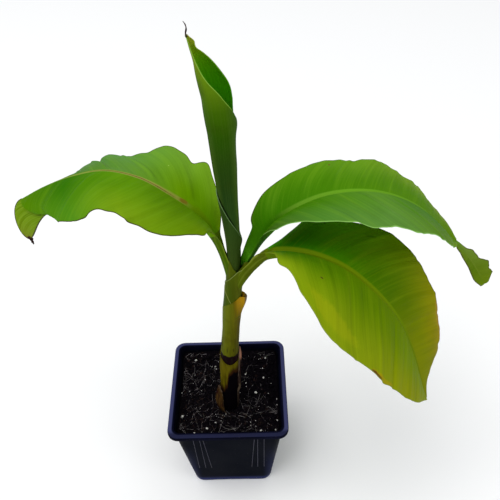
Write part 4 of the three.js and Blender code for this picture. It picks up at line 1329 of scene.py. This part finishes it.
def leaf_finish(name, colours):
    """A living blade: colours along its two halves, near the rib and further out, with
    fine veins, broad pleats of tone, a rib, blotches and two thin margin lines."""
    finish = Finish(name, roughness=0.5, gloss=0.008)
    along, across, vein, out = (
        finish.measure(label) for label in ("along", "across", "vein", "out"))
    share = finish.size(across)

    def along_leaf(label):
        places = np.linspace(0, 1, len(colours[label]))
        return finish.ramp(along, list(zip(places, colours[label])))

    # Some leaves' lists carry painted sheen in their bluer stops.
    halves = []
    for half in ("near", "far"):
        shades = along_leaf(half + "_inside"), along_leaf(half + "_outside")
        halves.append(finish.mix(finish.step(share, 0.2, 0.95), *shades))
    blade = finish.mix(finish.step(across, -0.02, 0.02), *halves)
    outwards = finish.times(out, 0.02)
    by_half = finish.step(across, -0.01, 0.01, 0, 50)
    fine = finish.noise(1.0, 3.0, finish.vector(finish.times(vein, 0.9), outwards, by_half))
    broad = finish.noise(1.0, 2.0, finish.vector(finish.times(vein, 0.17), outwards, by_half))
    cloud = finish.noise(38.0, 3.0)
    for tone, low, high, strength, shade in (
        (broad, 0.5, 0.72, 0.14, "light"),
        (broad, 0.5, 0.3, 0.14, "dark"),
        (fine, 0.5, 0.66, 0.1, "light"),
        (fine, 0.48, 0.34, 0.1, "dark"),
        (cloud, 0.55, 0.75, 0.15, "dark"),
    ):
        blade = finish.mix(finish.step(tone, low, high, 0, strength), blade, colours[shade])
    on_rib = finish.times(
        finish.step(finish.measure("rib"), 0.95, 0.5), finish.step(along, *colours["rib_shows"]))
    on_rib = finish.times(on_rib, finish.step(share, 1.0, 0.4))
    blade = finish.mix(on_rib, blade, along_leaf("rib"))
    paler = finish.times(finish.measure("below"), finish.step(along, 0, 0.15, 0, 0.4))
    blade = finish.mix(paler, blade, colours["under"])
    for place, spread, colour, strength in colours["blotches"]:
        run = finish.math("DIVIDE", finish.minus(along, place[0]), spread[0])
        aside = finish.math("DIVIDE", finish.minus(across, place[1]), spread[1])
        reach = finish.plus(finish.times(run, run), finish.times(aside, aside))
        ragged = finish.plus(finish.math("SQRT", reach), finish.noise(260.0, 3.0))
        blade = finish.mix(finish.step(ragged, 1.75, 1.15, 0, strength), blade, colour)
    margins = finish.mix(finish.step(across, -0.1, 0.1), *colours["margins"])
    wide = colours["margin_width"]
    thin = finish.step(finish.measure("edge"), wide, 0.2 * wide, 0, 0.85)
    thin = finish.times(thin, finish.step(along, -0.02, 0.02))
    finish.colour(finish.mix(thin, blade, margins))
    finish.relief(fine, 0.14)
    return finish


def stalk_finish(name, colours):
    """A stalk: fine lines along it, a channel painted lighter towards the foot as painted light, an outside
    of its own, darker clouds and thin dry margins."""
    finish = Finish(name, roughness=0.48, gloss=0.012)
    channel, lit_channel_foot, outside, dry_margin, cloudy = colours
    along, across, below = (finish.measure(label) for label in ("along", "across", "below"))
    lines = finish.noise(1.6, 3.0, finish.vector(finish.times(across, 6.0), along, below))
    # Painted light: the channel is painted lighter towards the foot.
    colour = finish.mix(finish.step(along, -0.05, -0.22), channel, lit_channel_foot)
    colour = finish.mix(below, colour, outside)
    colour = finish.mix(finish.step(lines, 0.45, 0.7, 0, 0.35), colour, dry_margin)
    cloud = finish.noise(90.0, 3.0)
    colour = finish.mix(finish.step(cloud, 0.45, 0.7, 0, 0.5), colour, cloudy)
    rim = finish.step(finish.measure("edge"), 0.45, 0.1)
    finish.colour(finish.mix(rim, colour, dry_margin))
    finish.relief(lines, 0.15)
    return finish


def blade_sheet(name, leaf, rows):
    return leaf_sheet(name, leaf, STALK_STATIONS, LEAF_STATIONS, rows, in_rib=8, beyond=42)


def stalk_sheet(name, leaf):
    return leaf_sheet(name, leaf, 0, STALK_STATIONS, rows=90, in_rib=10, beyond=3)


# The bluer grey-green stops in these lists are painted sheen, a soft reflection on the blade.
LEFT_COLOURS = {
    "far_inside": [(86, 136, 1), (98, 143, 1), (90, 138, 46), (68, 116, 24), (78, 131, 3)],
    "far_outside": [(124, 168, 1), (105, 150, 40), (85, 140, 56), (70, 121, 33), (62, 117, 2)],
    "near_inside": [(96, 142, 1), (82, 124, 1), (88, 138, 7), (46, 106, 1), (78, 122, 1)],
    "near_outside": [(113, 145, 4), (104, 142, 10), (115, 150, 16), (74, 130, 21), (78, 126, 4)],
    "rib": [(112, 122, 34), (128, 140, 50), (146, 150, 66), (136, 148, 60), (116, 142, 50), (100, 138, 40)],
    "rib_shows": (0.15, 0.24),
    "light": (122, 166, 34),
    "dark": (58, 104, 0),
    "under": (104, 136, 60),
    "blotches": [
        ((0.45, 0.012), (0.2, 0.008), (92, 56, 34), 0.8),
        ((0.215, 0.04), (0.022, 0.035), (116, 92, 20), 0.8),
        ((0.1, 0.02), (0.08, 0.12), (98, 110, 4), 0.3),
        ((0.31, 0.52), (0.002, 0.005), (170, 200, 100), 1),
    ],
    "margins": [(60, 48, 26), (56, 42, 22)],
    "margin_width": 1.0,
}
left_blade = blade_sheet("leaf_left_blade", LEFT_LEAF, 250)
left_skin = leaf_finish("leaf_left_skin", LEFT_COLOURS)
fit(left_blade, left_skin, "leaf_green", "leaf_left_inner", "leaf_left_outer")

# The second colour, for the foot of the channel, is painted light.
LEFT_STALK = [(80, 110, 2), (80, 116, 2), (68, 98, 2), (114, 134, 32), (60, 84, 4)]
left_stalk = stalk_sheet("stalk_left_gutter", LEFT_LEAF)
fit(left_stalk, stalk_finish("stalk_left_skin", LEFT_STALK), "stalk", "stalk_left")

# ------------------------- hanging end of the left leaf
# The left leaf's end has lost its stiffness: it folds down off the last of the rib
# as a thin hanging flap, and its very tip has shrivelled to a dark thread.
HANG_POINT = np.array([-107.6, -13, 255.8])
HANG_OUTER = np.array([(-118.5, -4, 275), (-115.5, -11, 256.2)])
HANG_INNER = np.array([(-99, -17.5, 272), (-102, -15.5, 261)])


def bent_line(start, bulges, end, t):
    """A line from start to end that is drawn out towards its two bulges."""
    t = np.asarray(t)[:, None]
    a = start * (1 - t) ** 3 + 3 * bulges[0] * t * (1 - t) ** 2
    return a + 3 * bulges[1] * t ** 2 * (1 - t) + end * t ** 3


last = np.linspace(LEAF_STATIONS - 0.1, LEAF_STATIONS, 4)
last_far = half_sheet(LEFT_LEAF, LEFT_LEAF["far"], 1, last, in_rib=8, beyond=42)[0]
last_near = half_sheet(LEFT_LEAF, LEFT_LEAF["near"], -1, last, in_rib=8, beyond=42)[0]
down = np.linspace(0.0, 0.985, 110)
outer_line = bent_line(last_far[-1, 0], HANG_OUTER, HANG_POINT, down)
inner_line = bent_line(last_near[-1, -1], HANG_INNER, HANG_POINT, down)
across = np.linspace(0, 1, 70)[None, :, None]
flap = outer_line[:, None] * (1 - across) + inner_line[:, None] * across
flap_run = np.gradient(flap, axis=0)
flap_normal = np.cross(flap_run, np.gradient(flap, axis=1))
flap_normal /= np.maximum(np.linalg.norm(flap_normal, axis=-1), 1e-9)[..., None]
share = across[..., 0] + 0 * flap[..., 0]
fall = down[:, None] + 0 * flap[..., 0]
slant = 26 * fall + 23 * share
ripple = 0.5 * lumps(slant / 3.2, share * 2, 1, 77) + 0.25 * lumps(slant / 1.3, share, 1, 78)
ripple = ripple * rise(np.minimum(share, 1 - share), 0, 0.1) * rise(1 - fall, 0, 0.3)
ripple = ripple * rise(fall, 0, 0.08)
flap = flap + flap_normal * ripple[..., None]
flap_under = flap + flap_normal * 0.3
measures = {
    "along": fall,
    "across": share,
    "slant": slant,
    "edge": 14 * (1 - fall) * np.minimum(share, 1 - share),
}
measures = {label: np.tile(values.ravel(), 2) for label, values in measures.items()}
left_flap = new_piece("leaf_left_hanging_end", *closed_sheet(flap, flap_under), measures, crease=60)
hanging = Finish("leaf_left_end_skin", roughness=0.5, gloss=0.008)
fallen = hanging.measure("along")
lines = hanging.noise(1.1, 3.0, hanging.vector(hanging.measure("slant"), hanging.measure("across")))
green = hanging.ramp(fallen, [
    (0.0, (94, 130, 14)), (0.35, (104, 136, 10)), (0.6, (112, 138, 20)),
    (0.8, (122, 136, 36)), (0.9, (128, 108, 40)), (0.96, (70, 22, 18)),
])
lines_show = hanging.step(fallen, 0.85, 0.7, 0, 0.4)
for low, high, colour in ((0.42, 0.62, (128, 158, 48)), (0.45, 0.3, (64, 96, 2))):
    green = hanging.mix(hanging.times(hanging.step(lines, low, high), lines_show), green, colour)
rim = hanging.step(hanging.measure("edge"), 0.5, 0.12)
hanging.colour(hanging.mix(rim, green, (60, 56, 34)))
hanging.relief(lines, 0.2)
fit(left_flap, hanging, "leaf_green", "leaf_left_tip")

dried_thread(
    "leaf_left_dried_tip",
    [(-107.9, -13, 258.2), (-107.1, -13.1, 256.4), (-106.9, -13.3, 254.4), (-106.5, -13.5, 252.5)],
    thick=1.3, node="leaf_left_thread")

# ------------------------- upper right leaf
# The largest leaf, a clean mid green. Its far half stands up from the rib at the foot
# and lies level further out, and the last of it narrows and hangs down as a tail.
UPPER_RIGHT_LEAF = {
    "bearing": 8,
    "spine": [
        (0, 208), (6, 225), (11.5, 237), (22, 250), (37, 263), (57, 272), (79, 273),
        (100, 267), (119, 255), (134, 239), (148, 222),
    ],
    "far": {
        "fold": 112,
        "opens": 1.3,
        "width": [4, 4.4, 5.2, 8.6, 23.5, 31.5, 39, 40.5, 36, 23, 4],
        "lift": [30, 34, 42, 49, 14, 2, -6, -3, 0, 5, 13],
        "sweep": [-6, 0, 5, 2],
        "arch": 1.6,
        "nicks": [
            (0.363, 1, 0.02), (0.46, -4, 0.035), (0.59, 3, 0.035), (0.695, -3.2, 0.03),
            (0.8, 4.5, 0.02), (0.94, 2.5, 0.04),
        ],
        "creases": [(48, 0.8, 1.8), (66, -0.7, 2.6), (30, 0.4, 2.0), (84, 0.5, 2.0)],
    },
    "near": {
        "fold": 88,
        "opens": 1.9,
        "width": [3.4, 3.4, 3.6, 5, 22, 33, 37.5, 39.5, 36, 23, 6],
        "lift": [30, 32, 28, 20, 24, 12, 5, 7, 6, 1, -4],
        "sweep": [2, 1, 1, -2],
        "arch": 1.2,
        "nicks": [(0.1, 2, 0.05), (0.4, 2, 0.03), (0.48, -2, 0.02), (0.56, 2, 0.03), (0.64, -1.5, 0.02)],
        "creases": [(32, 0.6, 1.6), (50, -0.8, 2.0), (61, 0.8, 2.0), (82, -0.4, 1.6)],
    },
    "rib_half": [3.4, 3.4, 3.5, 3.5, 3, 2.6, 2.2, 1.8, 1.4, 1, 0.6],
    "rib_depth": [5.4, 5.4, 5.1, 4.4, 3.8, 3.2, 2.7, 2.2, 1.8, 1.4, 0.9],
    "channel": [1.3, 1.3, 1.2, 0.9, 0.7, 0.5, 0.4, 0.35, 0.3, 0.2, 0.1],
    "stalk": {
        "half": [3.6, 4, 4.4, 4.4],
        "drop": [3, 2.6, 2.4, 1.4],
        "above": [3.4, 3.8, 4, 3.4],
        "below": [3.8, 4.2, 4, 3.4],
    },
    "seed": 201,
}
# The bluer grey-green stops in these lists are painted sheen, a soft reflection on the blade.
UPPER_RIGHT_COLOURS = {
    "far_inside": [(52, 112, 1), (63, 118, 5), (73, 124, 8), (79, 126, 14), (91, 128, 10)],
    "far_outside": [(50, 108, 2), (80, 132, 8), (95, 142, 20), (111, 147, 9), (120, 133, 42)],
    "near_inside": [(60, 118, 1), (63, 118, 2), (84, 132, 37), (55, 112, 1), (73, 121, 1)],
    "near_outside": [(54, 86, 2), (74, 124, 39), (90, 134, 56), (82, 121, 2), (116, 152, 3)],
    "rib": [(96, 132, 38), (98, 146, 34), (98, 150, 30), (96, 146, 32), (96, 140, 36), (102, 138, 44)],
    "rib_shows": (0.06, 0.2),
    "light": (122, 166, 36),
    "dark": (44, 92, 0),
    "under": (100, 136, 60),
    "blotches": [((0.36, 0.81), (0.004, 0.03), (96, 84, 30), 1)],
    "margins": [(136, 184, 92), (72, 74, 30)],
    "margin_width": 1.0,
}
upper_blade = blade_sheet("leaf_upper_right_blade", UPPER_RIGHT_LEAF, 270)
upper_skin = leaf_finish("leaf_upper_right_skin", UPPER_RIGHT_COLOURS)
fit(upper_blade, upper_skin, "leaf_green", "leaf_upper_right_inner", "leaf_upper_right_outer")

# The second colour, for the foot of the channel, is painted light.
UPPER_RIGHT_STALK = [(55, 112, 2), (98, 184, 24), (44, 92, 5), (64, 118, 12), (46, 100, 4)]
upper_stalk = stalk_sheet("stalk_upper_right_gutter", UPPER_RIGHT_LEAF)
upper_gutter = stalk_finish("stalk_upper_right_skin", UPPER_RIGHT_STALK)
fit(upper_stalk, upper_gutter, "stalk", "stalk_upper_right")

# ------------------------- tail of the upper right leaf
# The last of the upper right leaf is narrow and folded: it hangs down off the end of
# the rib with its far half standing out, and has faded a little.
UPPER_RIGHT_TAIL = {
    "bearing": 8,
    "spine": [
        (147.2, 223), (147.6, 222.6), (148, 222.1), (148.5, 221.6), (151.8, 217.8), (155, 214),
        (160, 207.5), (165, 200.8), (169.5, 193.8), (174.3, 185.8), (179, 178),
    ],
    "far": {
        "width": [3.6, 3.5, 3.4, 3.2, 2.8, 2.8, 4.2, 6.8, 8.6, 8.4, 4],
        "lift": [15, 16, 18, 22, 42, 60, 72, 78, 80, 80, 80],
        "sweep": [0, 0],
        "arch": 0.5,
        "nicks": [
            (0.42, 1.4, 0.05), (0.58, -1.5, 0.05), (0.71, 1.2, 0.035), (0.81, -1.1, 0.025),
            (0.89, 1, 0.02),
        ],
        "creases": [],
    },
    "near": {
        "width": [3.6, 3.5, 3.4, 3.4, 3, 2.8, 3.6, 4.2, 4.8, 5.2, 3.2],
        "lift": [-5, -6, -8, -12, -35, -60, -72, -78, -80, -80, -80],
        "sweep": [0, 0],
        "arch": 0.3,
        "nicks": [],
        "creases": [],
    },
    "rib_half": [*[0.6] * 6, 0.55, 0.5, 0.45, 0.4, 0.35],
    "rib_depth": [0.9, 0.9, 0.9, 0.9, 0.8, 0.8, 0.7, 0.6, 0.5, 0.4, 0.3],
    "channel": [*[0] * 3, *[0.1] * 8],
    "start": 152,
    "seed": 251,
}
TAIL_COLOURS = {
    **UPPER_RIGHT_COLOURS,
    "far_inside": [(92, 130, 30), (104, 130, 42), (95, 120, 22), (98, 121, 10)],
    "far_outside": [(98, 136, 40), (106, 131, 48), (97, 122, 27), (104, 125, 16)],
    "near_inside": [(92, 128, 26), (98, 124, 26), (86, 114, 12), (98, 124, 8)],
    "near_outside": [(96, 128, 30), (98, 122, 28), (86, 112, 12), (100, 124, 10)],
    "rib": [(100, 138, 44), (104, 128, 34), (98, 122, 14)],
    "blotches": [],
    "margins": [(78, 76, 30), (78, 76, 30)],
}
tail = leaf_sheet(
    "leaf_upper_right_tail", UPPER_RIGHT_TAIL, 2, LEAF_STATIONS, rows=120, in_rib=4, beyond=22)
tail_skin = leaf_finish("leaf_upper_right_tail_skin", TAIL_COLOURS)
fit(tail, tail_skin, "leaf_green", "leaf_upper_right_tip")

# ------------------------- lower right leaf
# The oldest leaf, on the thickest stalk, arches over and hangs to the right. It is
# yellowing from its margins inwards, and spotted brown near them.
LOWER_RIGHT_LEAF = {
    "bearing": -22,
    "spine": [
        (-1, 204.4), (5, 222.4), (13, 235), (25, 245.4), (48, 252), (71, 249), (91, 236),
        (107, 218), (118, 196), (126, 174), (133, 151),
    ],
    "far": {
        "fold": 100,
        "opens": 2.4,
        "width": [3.2, 3.2, 3.4, 4.4, 27, 36, 44, 44.5, 37, 25.5, 2],
        "lift": [10, 10, 8, 6, 10, 2, 6, 9, 15, 17, 1],
        "sweep": [1, -4, 0, -1],
        "arch": 1.2,
        "nicks": [(0.05, -1.2, 0.03), (0.13, 3.5, 0.045), (0.88, 2.5, 0.02), (0.95, -2, 0.02)],
        "creases": [(40, 0.5, 2.0), (62, -0.6, 1.6), (88, 0.6, 1.6), (104, -0.5, 1.4)],
    },
    "near": {
        "fold": 125,
        "opens": 1.9,
        "width": [3.2, 3.2, 3.6, 5.5, 22, 38, 45.5, 43, 34.5, 22, 2],
        "lift": [30, 34, 40, 28, 10, -1, -9, -5, -2, 4, 8],
        "sweep": [8, -8, 0, 0],
        "arch": 1.5,
        "nicks": [(0.08, 4, 0.03), (0.22, 1.5, 0.03), (0.62, 1.6, 0.025)],
        "creases": [(36, 0.5, 2.0), (51, -0.7, 1.4), (74, 0.6, 1.6), (92, -0.6, 1.4)],
    },
    "rib_half": [3.7, 3.7, 3.8, 3.7, 3.2, 2.7, 2.3, 1.9, 1.5, 1, 0.5],
    "rib_depth": [6, 6, 5.4, 4.8, 4.1, 3.5, 2.9, 2.3, 1.8, 1.3, 0.7],
    "channel": [1.4, 1.4, 1.3, 1.0, 0.8, 0.6, 0.45, 0.35, 0.3, 0.2, 0.1],
    "stalk": {
        "half": [2.2, 3.2, 3, 2.9],
        "drop": [5, 4.2, 3.4, 1.6],
        "above": [3, 3.2, 2.8, 2.8],
        "below": [1.4, 4.5, 4.8, 4.6],
    },
    "seed": 301,
}
LOWER_RIGHT_COLOURS = {
    "far_inside": [(8, 77, 3), (52, 109, 1), (74, 107, 1), (118, 127, 1), (121, 129, 1)],
    "far_outside": [(56, 146, 7), (98, 160, 15), (110, 134, 2), (150, 136, 2), (124, 118, 2)],
    "near_inside": [(42, 105, 1), (76, 115, 2), (90, 120, 1), (107, 132, 1), (119, 133, 1)],
    "near_outside": [(130, 157, 20), (121, 144, 9), (122, 140, 13), (134, 141, 7), (126, 136, 2)],
    "rib": [(92, 118, 8), (94, 118, 3), (96, 120, 4), (98, 124, 8), (106, 126, 12), (114, 126, 16)],
    "rib_shows": (0, 0.04),
    "light": (134, 156, 20),
    "dark": (46, 84, 0),
    "under": (112, 132, 50),
    "blotches": [
        ((0.36, -0.82), (0.12, 0.1), (146, 154, 14), 0.45),
        ((0.615, -0.97), (0.05, 0.04), (156, 140, 10), 0.7),
        ((0.582, -1.0), (0.024, 0.035), (96, 46, 22), 1),
        ((0.76, 0.97), (0.07, 0.06), (158, 130, 44), 0.9),
        ((0.247, -0.51), (0.006, 0.012), (70, 60, 20), 1),
        ((0.35, 0.78), (0.02, 0.03), (34, 66, 4), 0.3),
        ((0.0, -0.3), (0.05, 0.9), (92, 112, 6), 0.7),
    ],
    "margins": [(124, 138, 44), (70, 70, 24)],
    "margin_width": 0.7,
}
lower_blade = blade_sheet("leaf_lower_right_blade", LOWER_RIGHT_LEAF, 270)
lower_skin = leaf_finish("leaf_lower_right_skin", LOWER_RIGHT_COLOURS)
fit(lower_blade, lower_skin, "leaf_yellowing", "leaf_lower_right_inner", "leaf_lower_right_outer")

# The second colour, for the foot of the channel, is painted light.
LOWER_RIGHT_STALK = [(90, 112, 4), (110, 142, 6), (78, 94, 4), (120, 134, 40), (62, 68, 4)]
lower_stalk = stalk_sheet("stalk_lower_right_gutter", LOWER_RIGHT_LEAF)
lower_gutter = stalk_finish("stalk_lower_right_skin", LOWER_RIGHT_STALK)
fit(lower_stalk, lower_gutter, "stalk", "stalk_lower_right")
